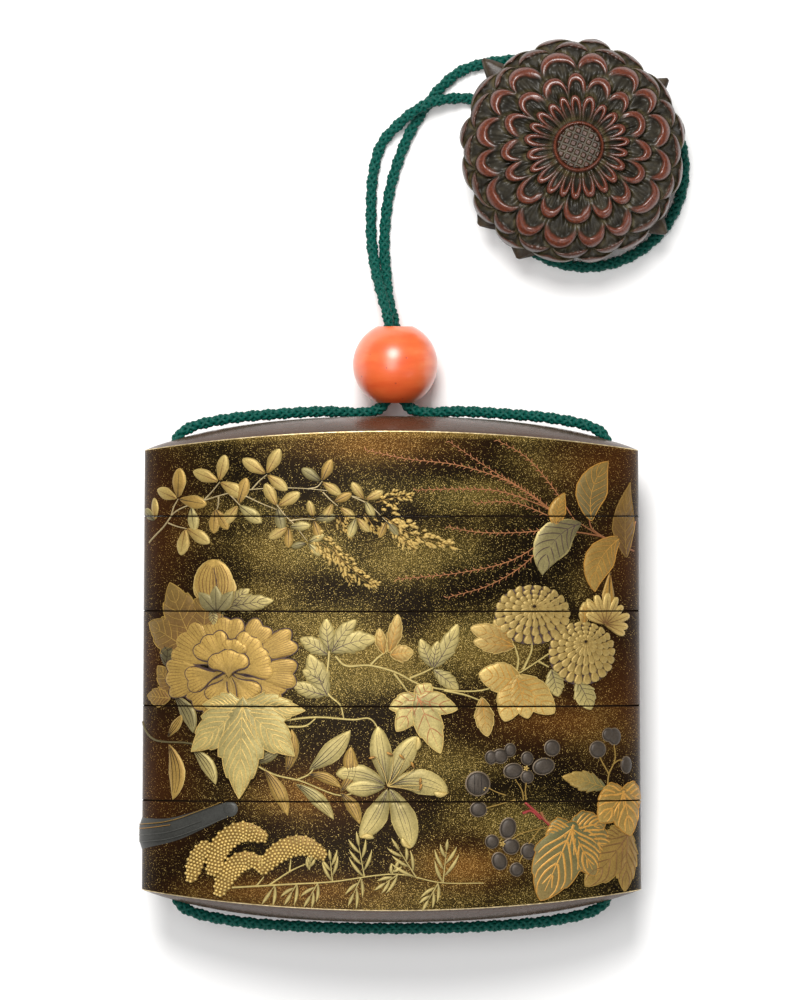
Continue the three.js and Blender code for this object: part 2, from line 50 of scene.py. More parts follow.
# The case, as in the part
HALF_WIDTH, TAPER = 40.95, 0.00017
HALF_DEPTH, CENTRE_Z = 14.0, 13.7
SHOULDER_Y, RIM_RISE, LID_RISE, BASE_RISE, CREST_FULLNESS = 36.3, 3.05, 5.55, 5.35, 0.4
SEAM_COUNT, SEAM_PITCH, SEAM_MIDDLE_Y, SEAM_GAP = 4, 15.6, 1.94, 0.03
CAVITY_HALF_WIDTH, CAVITY_HALF_DEPTH, CAVITY_POWER = 31.0, 10.7, 3
RISER_WALL, RISER_HEIGHT, RISER_CLEARANCE, FLOOR_THICKNESS = 1.2, 3.5, 0.3, 1.8
LID_HOLLOW_Y, LID_HOLLOW_TOP_Y, LID_HOLLOW_TOP_SCALE, BASE_FLOOR_Y = 35.0, 37.6, 0.8, -36.2
CHANNEL_X, CHANNEL_RADIUS, CHANNEL_MOUTH_RADIUS, CHANNEL_MOUTH_DEPTH = 35.7, 1.5, 2.2, 3.2
RING = 320
SEAM_BEVEL, RIM_BEVEL = 0.13, 0.16
WELD_DISTANCE = 0.001

# The bead
BEAD = np.array((0.6, 50.4, 7.0))
BEAD_RADIUS, BEAD_BORE_RADIUS, BEAD_MOUTH_RADIUS, BEAD_MOUTH_DEPTH = 7.0, 2.45, 3.0, 2.0

# The netsuke
NETSUKE = np.array((29.9, 85.7, 0.0))
NETSUKE_RADIUS, NETSUKE_CROWN_Z, NETSUKE_RIM_Z, NETSUKE_FLAT_RADIUS = 18.9, 17.3, 8.2, 6.5
CROWN_POWER, BACK_POWER = 2.6, 1.6
FLOWER_SHIFT = (1.2, 0.7)
PETALS = 16
TUNNEL_RADIUS, TUNNEL_SLOPE, TUNNEL_ANGLES = 1.5, 35.0, (150.0, 196.0)
HOLE_BEND_START = 12.9

# The cord
CORD_RADIUS, CORD_BEND, CORD_LENGTH = 0.9, 3.6, 543.3
LOOP_X, LOOP_Y, LOOP_RADIUS = 32.3, 83.0, 16.3

CAMERA_X, CAMERA_Y, CAMERA_Z = 1.4, 28.0, 2000.0
FRAME_HEIGHT, SENSOR = 165.0, 36.0


# ---- Meshes ----

def put_in_scene(name, data):
    made = bpy.data.objects.new(name, data)
    scene.collection.objects.link(made)
    return made


def add_attribute(mesh, label, values):
    """A colour or a number for each point of the mesh, for its material to read."""
    values = np.asarray(values, np.float32)
    kind, field = ("FLOAT_COLOR", "color") if values.ndim == 2 else ("FLOAT", "value")
    mesh.attributes.new(label, kind, "POINT").data.foreach_set(field, values.ravel())


def mesh_piece(name, points, faces, materials, kinds=None, tints=None):
    """A mesh object from points in millimetres. kinds gives each face its material's place in materials."""
    mesh = bpy.data.meshes.new(name)
    mesh.from_pydata((np.asarray(points, float) * MM).tolist(), [], faces)
    for material in materials:
        mesh.materials.append(material)
    if kinds is not None:
        mesh.polygons.foreach_set("material_index", np.asarray(kinds, np.int32))
    mesh.polygons.foreach_set("use_smooth", np.full(len(mesh.polygons), True))
    for label, values in (tints or {}).items():
        add_attribute(mesh, label, values)
    mesh.update()
    piece = put_in_scene(name, mesh)
    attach(piece, "root")
    return piece


@contextmanager
def editing(mesh):
    """The mesh's shape, written back to it at the end."""
    shape = bmesh.new()
    shape.from_mesh(mesh)
    yield shape
    shape.to_mesh(mesh)
    shape.free()


def weld_and_face_out(mesh):
    with editing(mesh) as shape:
        bmesh.ops.remove_doubles(shape, verts=shape.verts, dist=WELD_DISTANCE * MM)
        bmesh.ops.recalc_face_normals(shape, faces=shape.faces)


def sharp_by_angle(mesh, degrees):
    """Marks edges sharper than this, so that shading doesn't run over them."""
    limit = math.radians(degrees)
    with editing(mesh) as shape:
        for edge in shape.edges:
            if len(edge.link_faces) == 2:
                edge.smooth = edge.calc_face_angle(0) < limit


def cut_away(piece, cutter):
    """The piece without the cutter's volume, as plain mesh."""
    cut = piece.modifiers.new("cut", "BOOLEAN")
    cut.operation = "DIFFERENCE"
    cut.solver = "EXACT"
    cut.object = cutter
    cut.material_mode = "TRANSFER"
    bpy.context.view_layer.update()
    done = bpy.data.meshes.new_from_object(piece.evaluated_get(bpy.context.evaluated_depsgraph_get()))
    piece.modifiers.clear()
    piece.data = done


def ring_faces(levels, count):
    """Quads between consecutive rings of count points each."""
    faces = []
    for level in range(levels - 1):
        low, high = level * count, (level + 1) * count
        for side in range(count):
            following = (side + 1) % count
            faces.append((low + side, low + following, high + following, high + side))
    return faces


def shifted(faces, base):
    return [tuple(base + corner for corner in face) for face in faces]


def unit(vectors):
    return vectors / np.linalg.norm(vectors, axis=1)[:, None]


def smoothstep(low, high, value):
    share = np.clip((value - low) / (high - low), 0, 1)
    return share * share * (3 - 2 * share)


# ---- Materials ----

class Shader:
    """A material's node tree, with short ways to add nodes to it."""

    def __init__(self, name):
        self.material = bpy.data.materials.new(name)
        self.material.use_nodes = True
        self.tree = self.material.node_tree
        self.surface = self.tree.nodes["Principled BSDF"]
        self.place = self.node("ShaderNodeTexCoord").outputs["Object"]

    def node(self, kind, inputs=None, **settings):
        made = self.tree.nodes.new(kind)
        for key, value in settings.items():
            setattr(made, key, value)
        for key, value in (inputs or {}).items():
            self.put(made.inputs[key], value)
        return made

    def put(self, socket, value):
        if isinstance(value, bpy.types.NodeSocket):
            self.tree.links.new(value, socket)
        elif hasattr(socket.default_value, "__len__") and len(socket.default_value) == 4 and len(value) == 3:
            socket.default_value = (*value, 1)
        else:
            socket.default_value = value

    def set(self, **values):
        for key, value in values.items():
            self.put(self.surface.inputs[key.replace("_", " ")], value)

    def math(self, operation, *values):
        made = self.node("ShaderNodeMath", operation=operation)
        for socket, value in zip(made.inputs, values):
            self.put(socket, value)
        return made.outputs[0]

    def scaled(self, x, y, z):
        made = self.node("ShaderNodeVectorMath", {0: self.place, 1: (x, y, z)}, operation="MULTIPLY")
        return made.outputs[0]

    def noise(self, scale, detail=2.0, where=None):
        """Noise with scale features per millimetre."""
        inputs = {"Vector": where or self.place, "Scale": scale / MM, "Detail": detail}
        return self.node("ShaderNodeTexNoise", inputs).outputs["Fac"]

    def cells(self, scale):
        """Cells, scale of them per millimetre, with a distance from their middle and a colour each."""
        return self.node("ShaderNodeTexVoronoi", {"Vector": self.place, "Scale": scale / MM}, feature="F1").outputs

    def ramp(self, value, *stops):
        """Colours at places from 0 to 1."""
        made = self.node("ShaderNodeValToRGB", {"Fac": value})
        points = made.color_ramp.elements
        while len(points) < len(stops):
            points.new(0.5)
        for point, (place, colour) in zip(points, stops):
            point.position = place
            point.color = (*colour, 1)
        return made.outputs["Color"]

    def span(self, value, low, high, to_low=0.0, to_high=1.0, smooth=False):
        made = self.node("ShaderNodeMapRange", {0: value, 1: low, 2: high, 3: to_low, 4: to_high})
        if smooth:
            made.interpolation_type = "SMOOTHSTEP"
        return made.outputs[0]

    def mix(self, share, first, second):
        made = self.node("ShaderNodeMix", data_type="RGBA")
        self.put(made.inputs[0], share)
        self.put(made.inputs[6], first)
        self.put(made.inputs[7], second)
        return made.outputs[2]

    def bump(self, height, distance, strength=1.0):
        made = self.node("ShaderNodeBump", {"Height": height, "Distance": distance * MM, "Strength": strength})
        self.tree.links.new(made.outputs[0], self.surface.inputs["Normal"])

    def attribute(self, name, output="Fac"):
        return self.node("ShaderNodeAttribute", attribute_name=name).outputs[output]


CLOUDS = (  # x, y, reach in x, reach in y, strength: gold that gathers on the front, and mirrored on the back
    (-4, 37, 16, 3, 0.7), (13, 29, 15, 3.4, 0.75), (24, 34, 8, 5, 0.6), (-15, 20, 12, 4.2, 0.8),
    (4, 18.5, 11, 5, 0.75),
    (-12, 7.5, 12, 4, 0.9), (-5, 1, 12, 5.4, 1.2), (15, 5, 11, 6, 0.85), (9, -15, 10, 4.4, 0.7),
    (-19, -21, 10, 4.0, 0.7),
    (19, -25, 10, 4.4, 0.75), (0, -37, 34, 3, 0.6), (-20, 12.5, 9, 2.6, 0.5), (29, -8.5, 12, 4.4, 0.6),
    (-30, -14, 5, 6, 0.25), (-19, 26, 16, 3, 0.45), (33, -30, 10, 5, 0.5), (30, 14, 6, 4, 0.3),
    (-34, 24, 5, 6, 0.25), (12, -32, 9, 3.5, 0.85),
)
REDS = (  # x, y, reach in x, reach in y: where the lacquer turns red-brown
    (-41, 24, 8, 14), (-41, -18, 9, 12), (37, 34, 10, 6), (40, -4, 11, 10), (-41, 2, 5, 7), (40, 18, 6, 9),
    (-18, -36, 18, 3), (27, -8, 14, 4.5), (-12, -20, 12, 5), (-2, 37, 14, 3), (12, -32, 9, 4),
)
RIM_GOLD = ((1, 1.5), (-1, 0.7))  # direction of each rim, and how strongly gold gathers along it
RIM_GOLD_DEPTH, RIM_GOLD_REACH = 0.5, 27
FRONT_FROM, FRONT_TO = CENTRE_Z - 6, CENTRE_Z + 3  # between these heights the back's clouds give way to the front's


def gathered(x, y, cx, cy, reach_x, reach_y):
    return np.exp(-(((x - cx) / reach_x) ** 2 + ((y - cy) / reach_y) ** 2))


def lacquer_wall():
    """Black lacquer with gold flecks that gather into drifting clouds."""
    s = Shader("lacquer_clouds")
    gathered, reddish = s.attribute("Cloud"), s.attribute("Reddish")
    drift = s.span(s.noise(0.1, 3.0), 0.3, 0.7, -0.22, 0.2)
    cloud = s.span(s.math("ADD", gathered, drift), -0.02, 1.0, smooth=True)
    grains = s.cells(8.8)
    lot, shade, _ = s.node("ShaderNodeSeparateColor", {0: grains["Color"]}).outputs
    chosen = s.math("LESS_THAN", lot, s.span(cloud, 0.0, 1.0, 0.11, 0.92))
    fleck = s.math("MULTIPLY", chosen, s.span(grains["Distance"], 0.34, 0.52, 1.0, 0.0))
    gold = s.ramp(shade, (0.0, (0.1, 0.068, 0.015)), (0.6, (0.3, 0.21, 0.05)), (1.0, (0.8, 0.58, 0.2)))
    warm = s.ramp(shade, (0.0, (0.1, 0.045, 0.01)), (0.6, (0.3, 0.155, 0.035)), (1.0, (0.7, 0.42, 0.13)))
    ground = s.mix(reddish, (0.004, 0.0028, 0.0018), (0.034, 0.0115, 0.003))
    olive = s.mix(s.span(s.noise(0.07, 2.0), 0.42, 0.58), (0.1, 0.066, 0.015), (0.066, 0.052, 0.014))
    ground = s.mix(s.math("MULTIPLY", cloud, 0.6), ground, s.mix(reddish, olive, (0.125, 0.05, 0.009)))
    s.set(Base_Color=s.mix(fleck, ground, s.mix(reddish, gold, warm)), Metallic=s.math("MULTIPLY", fleck, 0.3),
          Specular_IOR_Level=0.06, Specular_Tint=(1, 0.7, 0.4, 1), Roughness=s.span(fleck, 0, 1, 0.32, 0.42),
          Coat_Weight=0.012, Coat_Roughness=0.15)
    return s.material


def cloud_shares(points):
    """How much gold gathers, and how red the lacquer turns, at points on the wall in millimetres."""
    x, y, z = np.asarray(points, float).T
    front = smoothstep(FRONT_FROM, FRONT_TO, z)
    gold, red = np.zeros_like(x), np.zeros_like(x)
    for *cloud, strength in CLOUDS:
        for turned, side in ((1, front), (-1, 1 - front)):
            gold = np.maximum(gold, strength * gathered(turned * x, y, *cloud) * side)
    for direction, strength in RIM_GOLD:
        below = SHOULDER_Y + RIM_RISE * (1 - (x / half_width(y)) ** 2) - RIM_BEVEL - direction * y
        band = np.exp(-((below / RIM_GOLD_DEPTH) ** 2) - (x / RIM_GOLD_REACH) ** 2)
        gold = np.maximum(gold, strength * front * band)
    for patch in REDS:
        red = np.maximum(red, gathered(x, y, *patch))
    return gold, red


def lacquer_dome():
    """Plain dark brown lacquer, polished."""
    s = Shader("lacquer_dome")
    shade = s.noise(0.15, 3.0)
    s.set(Base_Color=s.mix(shade, (0.045, 0.022, 0.012), (0.08, 0.043, 0.026)),
          Roughness=s.span(s.noise(0.5), 0.3, 0.7, 0.22, 0.3), Specular_IOR_Level=0.04, Coat_Weight=0.055,
          Coat_Roughness=0.08)
    return s.material


def seam_shade():
    """The edges of the sections at the seams, dull, and painted near black as painted shade for the shade that falls in
    the gaps between the sections.
    """
    s = Shader("seam_shade")
    # painted shade: the seams' bevels and facing sides are coloured near black for the shade in the narrow gaps
    s.set(Base_Color=s.mix(s.noise(1.0), (0.004, 0.003, 0.002), (0.016, 0.009, 0.005)), Roughness=1.0,
          Specular_IOR_Level=0.0)
    return s.material


def gold_line():
    s = Shader("gold_line")
    s.set(Base_Color=s.ramp(s.noise(1.5, 3.0), (0.3, (0.35, 0.25, 0.1)), (0.7, (0.85, 0.68, 0.38))), Metallic=0.6,
          Roughness=0.35)
    return s.material


def nashiji_inside():
    """The inside: reddish brown lacquer with sparse gold dust."""
    s = Shader("lacquer_inside")
    grains = s.cells(3.2)
    lot = s.node("ShaderNodeSeparateColor", {0: grains["Color"]}).outputs[0]
    fleck = s.math("MULTIPLY", s.math("LESS_THAN", lot, 0.4), s.span(grains["Distance"], 0.28, 0.5, 1.0, 0.0))
    s.set(Base_Color=s.mix(fleck, (0.09, 0.025, 0.01), (0.6, 0.36, 0.12)), Metallic=s.math("MULTIPLY", fleck, 0.5),
          Roughness=0.3, Coat_Weight=0.5)
    return s.material


def coral():
    s = Shader("coral")
    clouds = s.noise(0.12, 3.0)
    bands = s.noise(0.3, 2.0, s.scaled(0.4, 2.4, 0.7))
    shade = s.math("ADD", s.math("MULTIPLY", clouds, 0.6), s.math("MULTIPLY", bands, 0.4))
    colour = s.ramp(shade, (0.3, (0.7, 0.085, 0.018)), (0.52, (0.82, 0.145, 0.036)), (0.72, (0.9, 0.25, 0.09)))
    pit = s.span(s.cells(0.5)["Distance"], 0.05, 0.1)
    s.set(Base_Color=s.mix(pit, (0.5, 0.06, 0.03), colour), Roughness=0.36, Coat_Weight=0.85, Coat_Roughness=0.3,
          Subsurface_Weight=0.15, Subsurface_Radius=(0.004, 0.0012, 0.0006), Subsurface_Scale=0.4)
    s.bump(pit, 0.05, 0.6)
    return s.material


def carved_wood():
    """Dark stained wood: polished red-brown where it is rubbed, grey-green in the recesses."""
    s = Shader("carved_wood")
    rubbed, deep = s.attribute("Rubbed"), s.attribute("Deep")
    mottle, fine = s.noise(0.5, 4.0), s.noise(3.0, 3.0)
    recess = s.ramp(mottle, (0.3, (0.012, 0.01, 0.007)), (0.55, (0.03, 0.026, 0.018)), (0.75, (0.066, 0.056, 0.038)))
    polish = s.ramp(fine, (0.25, (0.06, 0.012, 0.005)), (0.6, (0.125, 0.028, 0.011)), (0.8, (0.21, 0.055, 0.022)))
    earth = s.ramp(mottle, (0.35, (0.022, 0.017, 0.007)), (0.7, (0.085, 0.066, 0.026)))
    s.set(Base_Color=s.mix(deep, s.mix(rubbed, recess, polish), earth), Roughness=s.span(rubbed, 0, 1, 0.4, 0.3),
          Specular_IOR_Level=s.span(rubbed, 0, 1, 0.3, 0.4), Coat_Weight=s.math("MULTIPLY", rubbed, 0.5),
          Coat_Roughness=0.22)
    s.bump(fine, 0.12, 0.5)
    return s.material


def silk():
    s = Shader("silk")
    fibre = s.noise(5.0, 3.0)
    s.set(Base_Color=s.ramp(fibre, (0.3, (0.001, 0.033, 0.025)), (0.7, (0.002, 0.112, 0.084))), Roughness=0.5,
          Specular_IOR_Level=0.16, Sheen_Weight=0.03, Sheen_Roughness=0.4, Sheen_Tint=(0.2, 0.9, 0.75))
    s.bump(fibre, 0.08, 0.5)
    return s.material


def backdrop_paper():
    s = Shader("backdrop")
    s.set(Base_Color=(0.97, 0.97, 0.97), Roughness=0.9, Specular_IOR_Level=0.1)
    return s.material


# ---- Camera, floor and lights ----

LIGHTS = (  # name, place in metres, size in metres, watts, colour
    ("key", (-0.1, 0.6, 0.95), 0.5, 13.0, (1, 0.985, 0.965)),
    ("left", (-0.2, 0.05, 1.15), 0.6, 4.6, (1, 0.99, 0.98)),
    ("fill", (0.75, -0.75, 0.75), 0.7, 3.6, (0.98, 0.985, 1)),
    ("front", (-0.3, -0.95, 0.8), 0.7, 2.0, (1, 1, 1)),
)
LIGHTS_AIM = (0, 0.03, 0)
WORLD_STRENGTH = 0.2
FLOOR_REACH = 4.0  # metres


def studio():
    lens = bpy.data.cameras.new("camera")
    lens.sensor_width = SENSOR
    lens.lens = SENSOR * (CAMERA_Z - CENTRE_Z) / FRAME_HEIGHT
    lens.clip_end = 10
    camera = put_in_scene("camera", lens)
    camera.location = Vector((CAMERA_X, CAMERA_Y, CAMERA_Z)) * MM
    camera.rotation_euler = (0, 0, 0)
    scene.camera = camera

    floor = bpy.data.meshes.new("floor")
    corners = [(x * FLOOR_REACH, y * FLOOR_REACH, 0) for x, y in ((-1, -1), (1, -1), (1, 1), (-1, 1))]
    floor.from_pydata(corners, [], [(0, 1, 2, 3)])
    floor.materials.append(backdrop_paper())
    floor = put_in_scene("floor", floor)

    for name, where, size, power, colour in LIGHTS:
        light = bpy.data.lights.new(name, "AREA")
        light.shape = "DISK"
        light.size = size
        light.energy = power
        light.color = colour
        lamp = put_in_scene(name, light)
        lamp.location = where
        lamp.rotation_mode = "QUATERNION"
        lamp.rotation_quaternion = (Vector(LIGHTS_AIM) - lamp.location).to_track_quat("-Z", "Y")

    world = bpy.data.worlds.new("studio")
    world.use_nodes = True
    background = world.node_tree.nodes["Background"].inputs
    background["Color"].default_value = (1, 1, 1, 1)
    background["Strength"].default_value = WORLD_STRENGTH
    scene.world = world


# ---- The cord ----

def arc(x, y, radius, start, end, steps, z):
    turns = np.radians(np.linspace(start, end, steps + 1))
    return [(x + radius * math.cos(t), y + radius * math.sin(t), z) for t in turns]


def tunnel_point(angle, radius):
    """Places along the line that the cord follows into the netsuke's back."""
    slope = math.radians(TUNNEL_SLOPE)
    bend_end = HOLE_BEND_START - CORD_BEND * math.sin(slope)
    turned = math.asin(min(max((HOLE_BEND_START - radius) / CORD_BEND, 0), 1))
    rise = CORD_BEND * (1 - math.cos(turned if radius > bend_end else slope))
    if radius <= bend_end:
        rise += (bend_end - radius) * math.tan(slope)
    turn = math.radians(angle)
    return (NETSUKE[0] + radius * math.cos(turn), NETSUKE[1] + radius * math.sin(turn), CORD_RADIUS + rise)


def side_run(side):
    """From the bead's mouth over one side of the lid, down that side's channel and under the base."""
    corner = CHANNEL_X - CORD_BEND
    points = [(11, 42.65, 8.9), (19, 42.2, 11.2), (27, 41.4, 13.2)]
    points += arc(corner, 36.55, CORD_BEND, 75, 0, 2, CENTRE_Z)
    points += arc(corner, -36.4, CORD_BEND, 0, -75, 2, CENTRE_Z)
    points += [(26, -41.45, CENTRE_Z), (14, -42.4, CENTRE_Z)]
    return [(side * x, y, z) for x, y, z in points]


def cord_route():
    """The route's points, in order from one netsuke hole to the other."""
    turn = 1 + CORD_BEND
    into_hole = (HOLE_BEND_START, 10.8, 6)
    left_strand = [
        (16, 93.7, 0.9), (13, 94.6, 1.1), (9.7, 94.6, 2.2), (6.6, 93.95, 2.8), (4, 92.65, 2.8), (1.2, 90.4, 1.8),
        (-1.7, 87, 0.92), (-3.1, 81.8, 0.9), (-3.4, 76, 0.9), (-3.3, 70.7, 1), (-2.5, 65.5, 3.1),
        (-1.4, 61.3, 6.2), (-0.5, 57.6, 7.85), (-0.55, 51, 7.5),
    ]
    right_strand = [
        (1.6, 51, 6.4), (0.4, 57.6, 5.8), (-0.5, 61.3, 4.2), (-0.9, 65.5, 1.9), (-1.2, 70.7, 0.9),
        (-0.6, 77.7, 0.9), (0.8, 83.4, 0.9), (3.2, 89.3, 0.9), (6.1, 93.9, 0.9), (8.3, 96.6, 0.9),
        (11.5, 99.2, 0.9), (16, 100.6, 0.9), (21.5, 101.1, 0.9), (27, 100.7, 0.9), (31.8, 99.6, 0.9),
    ]
    return (
        [tunnel_point(TUNNEL_ANGLES[0], radius) for radius in reversed(into_hole)]
        + left_strand
        + arc(BEAD[0] - turn, 46.1, CORD_BEND, 0, -90, 2, BEAD[2])
        + side_run(-1)
        + [(0, -42.7, CENTRE_Z)]
        + side_run(1)[::-1]
        + arc(BEAD[0] + turn, 46.1, CORD_BEND, -90, -180, 2, BEAD[2])
        + right_strand
        + arc(LOOP_X, LOOP_Y, LOOP_RADIUS, 75, -133, 10, CORD_RADIUS)
        + arc(18.55, 78.49, 3.8, 228, 106, 4, CORD_RADIUS)
        + [tunnel_point(TUNNEL_ANGLES[1], radius) for radius in into_hole[1:]]
    )


def lengths_along(line):
    return np.concatenate([[0], np.cumsum(np.linalg.norm(np.diff(line, axis=0), axis=1))])


def through(points, per_step):
    """A smooth line through the points: a centripetal Catmull-Rom spline."""
    points = np.asarray(points, float)
    ends = [2 * points[0] - points[1], *points, 2 * points[-1] - points[-2]]
    line = []
    for a, b, c, d in zip(ends, ends[1:], ends[2:], ends[3:]):
        gaps = [max(np.linalg.norm(q - p), 1e-9) ** 0.5 for p, q in ((a, b), (b, c), (c, d))]
        m0 = (b - a) / gaps[0] - (c - a) / (gaps[0] + gaps[1]) + (c - b) / gaps[1]
        m1 = (c - b) / gaps[1] - (d - b) / (gaps[1] + gaps[2]) + (d - c) / gaps[2]
        m0, m1 = m0 * gaps[1], m1 * gaps[1]
        for step in range(per_step):
            t = step / per_step
            line.append(b * (2 * t**3 - 3 * t**2 + 1) + m0 * (t**3 - 2 * t**2 + t)
                        + c * (-2 * t**3 + 3 * t**2) + m1 * (t**3 - t**2))
    line.append(points[-1])
    return np.array(line)


def spaced(line, spacing):
    """The line's points at even spacing along it."""
    along = lengths_along(line)
    wanted = np.linspace(0, along[-1], max(int(round(along[-1] / spacing)), 1) + 1)
    return np.stack([np.interp(wanted, along, axis) for axis in line.T], 1)


def carried_frames(line):
    """Two directions across the line at each point that turn no more than it does."""
    ahead = unit(np.gradient(line, axis=0))
    side = np.cross(ahead[0], (0.3, 0.5, 1.0))
    sides = []
    for direction in ahead:
        side = side - direction * side.dot(direction)
        side = side / np.linalg.norm(side)
        sides.append(side)
    return np.array(sides), np.cross(ahead, sides)


BRAID_STRANDS, STRAND_SIDES = 8, 6
BRAID_LAY = 5.4  # length in which a strand goes round once
BRAID_ORBIT, BRAID_WEAVE = 0.62, 0.17  # how far a strand's middle lies from the cord's, and how far that swings
STRAND_WIDTH, STRAND_THICKNESS = 0.33, 0.27
CORD_STEP = 0.3167
CORD_LOWEST = 0.02


def braid(line):
    """Strands that circle the line both ways, over two and under two."""
    side, up = carried_frames(line)
    along = lengths_along(line)
    half = BRAID_STRANDS // 2
    last = (len(line) - 1) * STRAND_SIDES
    skin = ring_faces(len(line), STRAND_SIDES)
    skin += [tuple(reversed(range(STRAND_SIDES))), tuple(range(last, last + STRAND_SIDES))]
    points, faces = [], []
    for strand in range(BRAID_STRANDS):
        way = 1 if strand < half else -1
        start = (strand % half) / half * TAU
        turn = way * TAU * along / BRAID_LAY + start + (TAU / BRAID_STRANDS if way < 0 else 0)
        swing = half * TAU * along / BRAID_LAY + (strand % half) * math.pi + (math.pi if way < 0 else 0)
        out = side * np.cos(turn)[:, None] + up * np.sin(turn)[:, None]
        middle = line + out * (BRAID_ORBIT + BRAID_WEAVE * np.sin(swing))[:, None]
        flat = unit(np.cross(unit(np.gradient(middle, axis=0)), out))
        rings = []
        for corner in range(STRAND_SIDES):
            angle = TAU * corner / STRAND_SIDES + math.pi / 2
            wide, thick = STRAND_WIDTH * math.cos(angle), STRAND_THICKNESS * math.sin(angle)
            rings.append(middle + flat * wide + out * thick)
        faces += shifted(skin, len(points))
        points.extend(np.stack(rings, 1).reshape(-1, 3))
    points = np.array(points)
    points[:, 2] = np.maximum(points[:, 2], CORD_LOWEST)
    return points, faces


def make_cord():
    route = cord_route()
    line = spaced(through(route, 16), CORD_STEP)
    piece = mesh_piece("cord_braid", *braid(line), [silk()])
    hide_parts("cord")
    return piece, route, line


# ---- The case ----

def half_width(y):
    return HALF_WIDTH * (1 - TAPER * y)


def rise(across, up, crest_rise):
    square = across**2
    crest = crest_rise * (1 - (1 - CREST_FULLNESS) * square - CREST_FULLNESS * square**2)
    rim = RIM_RISE * (1 - square)
    share = np.where(square < 1, np.minimum(up**2 / np.maximum(1 - square, 1e-9), 1), 1)
    return crest - (crest - rim) * share


TURNS = np.arange(RING) * TAU / RING


def outer_ring(scale, y):
    """The outer oval scaled about its middle. y is one number, or one for each point."""
    across, up = scale * np.cos(TURNS), scale * np.sin(TURNS)
    y = np.broadcast_to(np.asarray(y, float), across.shape)
    return np.stack([half_width(y) * across, y, np.maximum(CENTRE_Z + HALF_DEPTH * up, 0)], 1)


def drawn_in(ring, inset):
    """The ring moved inwards by inset, in its own plane."""
    ring = ring.copy()
    reach = np.hypot(ring[:, 0], ring[:, 2] - CENTRE_Z)
    ring[:, 0] *= 1 - inset / reach
    ring[:, 2] = CENTRE_Z + (ring[:, 2] - CENTRE_Z) * (1 - inset / reach)
    return ring


def dome_ring(scale, crest_rise, direction):
    across, up = scale * np.cos(TURNS), scale * np.sin(TURNS)
    return outer_ring(scale, direction * (SHOULDER_Y + rise(across, up, crest_rise)))


def inner_ring(y, grow, scale=1.0):
    cosine, sine = np.cos(TURNS), np.sin(TURNS)
    power = 2 / CAVITY_POWER
    across = np.sign(cosine) * np.abs(cosine) ** power
    up = np.sign(sine) * np.abs(sine) ** power
    x = (scale * CAVITY_HALF_WIDTH + grow) * across
    z = CENTRE_Z + (scale * CAVITY_HALF_DEPTH + grow) * up
    return np.stack([x, np.full(RING, y), z], 1)


def point_ring(y):
    return np.tile((0.0, y, CENTRE_Z), (RING, 1))


# EDGE faces are the seams' bevels and facing sides, which carry the painted seam shade
WALL, RIM, DOME, INSIDE, EDGE = range(5)
WALL_STEPS = 14
WALL_INSET = 0.012  # where the first and last steps lie, as shares of the wall
DOME_STEPS, DOME_CROWDING = 22, 0.8
RIM_LIP = 0.02
CHANNEL_SIDES, CHANNEL_REACH = 32, 60
CASE_SHARP_ANGLE = 35


def wall_rings(low, high):
    """Rings up the wall from one ring to another, close together beside its edges so that they shade crisply."""
    return [low + (high - low) * share for share in (0, *np.linspace(WALL_INSET, 1 - WALL_INSET, WALL_STEPS), 1)]


def seam_y(seam):
    return SEAM_MIDDLE_Y + SEAM_PITCH * ((SEAM_COUNT - 1) / 2 - seam)


def dome_part(crest_rise, direction):
    """Rings from the wall's rim over the dome to its crest, with the kind of the band below each."""
    rim = dome_ring(1, crest_rise, direction)
    edge, lip = rim.copy(), drawn_in(rim, RIM_LIP)
    edge[:, 1] -= direction * RIM_BEVEL
    lip[:, 1] -= direction * RIM_BEVEL / 4
    rings = [(edge, WALL), (lip, RIM), (drawn_in(rim, RIM_BEVEL), RIM)]
    for scale in np.linspace(1, 0, DOME_STEPS)[1:-1] ** DOME_CROWDING:
        rings.append((dome_ring(scale, crest_rise, direction), DOME))
    return rings + [(point_ring(direction * (SHOULDER_Y + crest_rise)), DOME)]


def case_rings(number):
    """Rings along the whole skin of one section, from the middle of its recess to the middle of its floor."""
    bottom = seam_y(number) + SEAM_GAP / 2
    ceiling = bottom + RISER_HEIGHT + RISER_CLEARANCE
    floor_y = ceiling + FLOOR_THICKNESS
    if number == SEAM_COUNT:
        # a band's kind belongs to the ring it leads to, so the kinds shift by one when the order turns round
        dome = dome_part(BASE_RISE, -1)[::-1]
        rings = [(ring, dome[max(place - 1, 0)][1]) for place, (ring, _) in enumerate(dome)]
        floor_y = BASE_FLOOR_Y
    else:
        rings = [(point_ring(ceiling), INSIDE)]
        if number == 0:
            rings = [(point_ring(LID_HOLLOW_TOP_Y), INSIDE),
                     (inner_ring(LID_HOLLOW_TOP_Y, 0, LID_HOLLOW_TOP_SCALE), INSIDE),
                     (inner_ring(LID_HOLLOW_Y, 0), INSIDE), (inner_ring(ceiling, 0), INSIDE)]
        grow = RISER_WALL + RISER_CLEARANCE
        rings += [(inner_ring(ceiling, grow), INSIDE), (inner_ring(bottom, grow), INSIDE),
                  (drawn_in(outer_ring(1, bottom), SEAM_BEVEL), EDGE), (outer_ring(1, bottom + SEAM_BEVEL), EDGE)]
    low = rings[-1][0]
    if number == 0:
        dome = dome_part(LID_RISE, 1)
        return rings + [(ring, WALL) for ring in wall_rings(low, dome[0][0])[1:]] + dome[1:]
    top = seam_y(number - 1) - SEAM_GAP / 2
    rings += [(ring, WALL) for ring in wall_rings(low, outer_ring(1, top - SEAM_BEVEL))[1:]]
    return rings + [
        (drawn_in(outer_ring(1, top), SEAM_BEVEL), EDGE), (inner_ring(top, RISER_WALL), EDGE),
        (inner_ring(top + RISER_HEIGHT, RISER_WALL), INSIDE), (inner_ring(top + RISER_HEIGHT, 0), INSIDE),
        (inner_ring(floor_y, 0), INSIDE), (point_ring(floor_y), INSIDE),
    ]


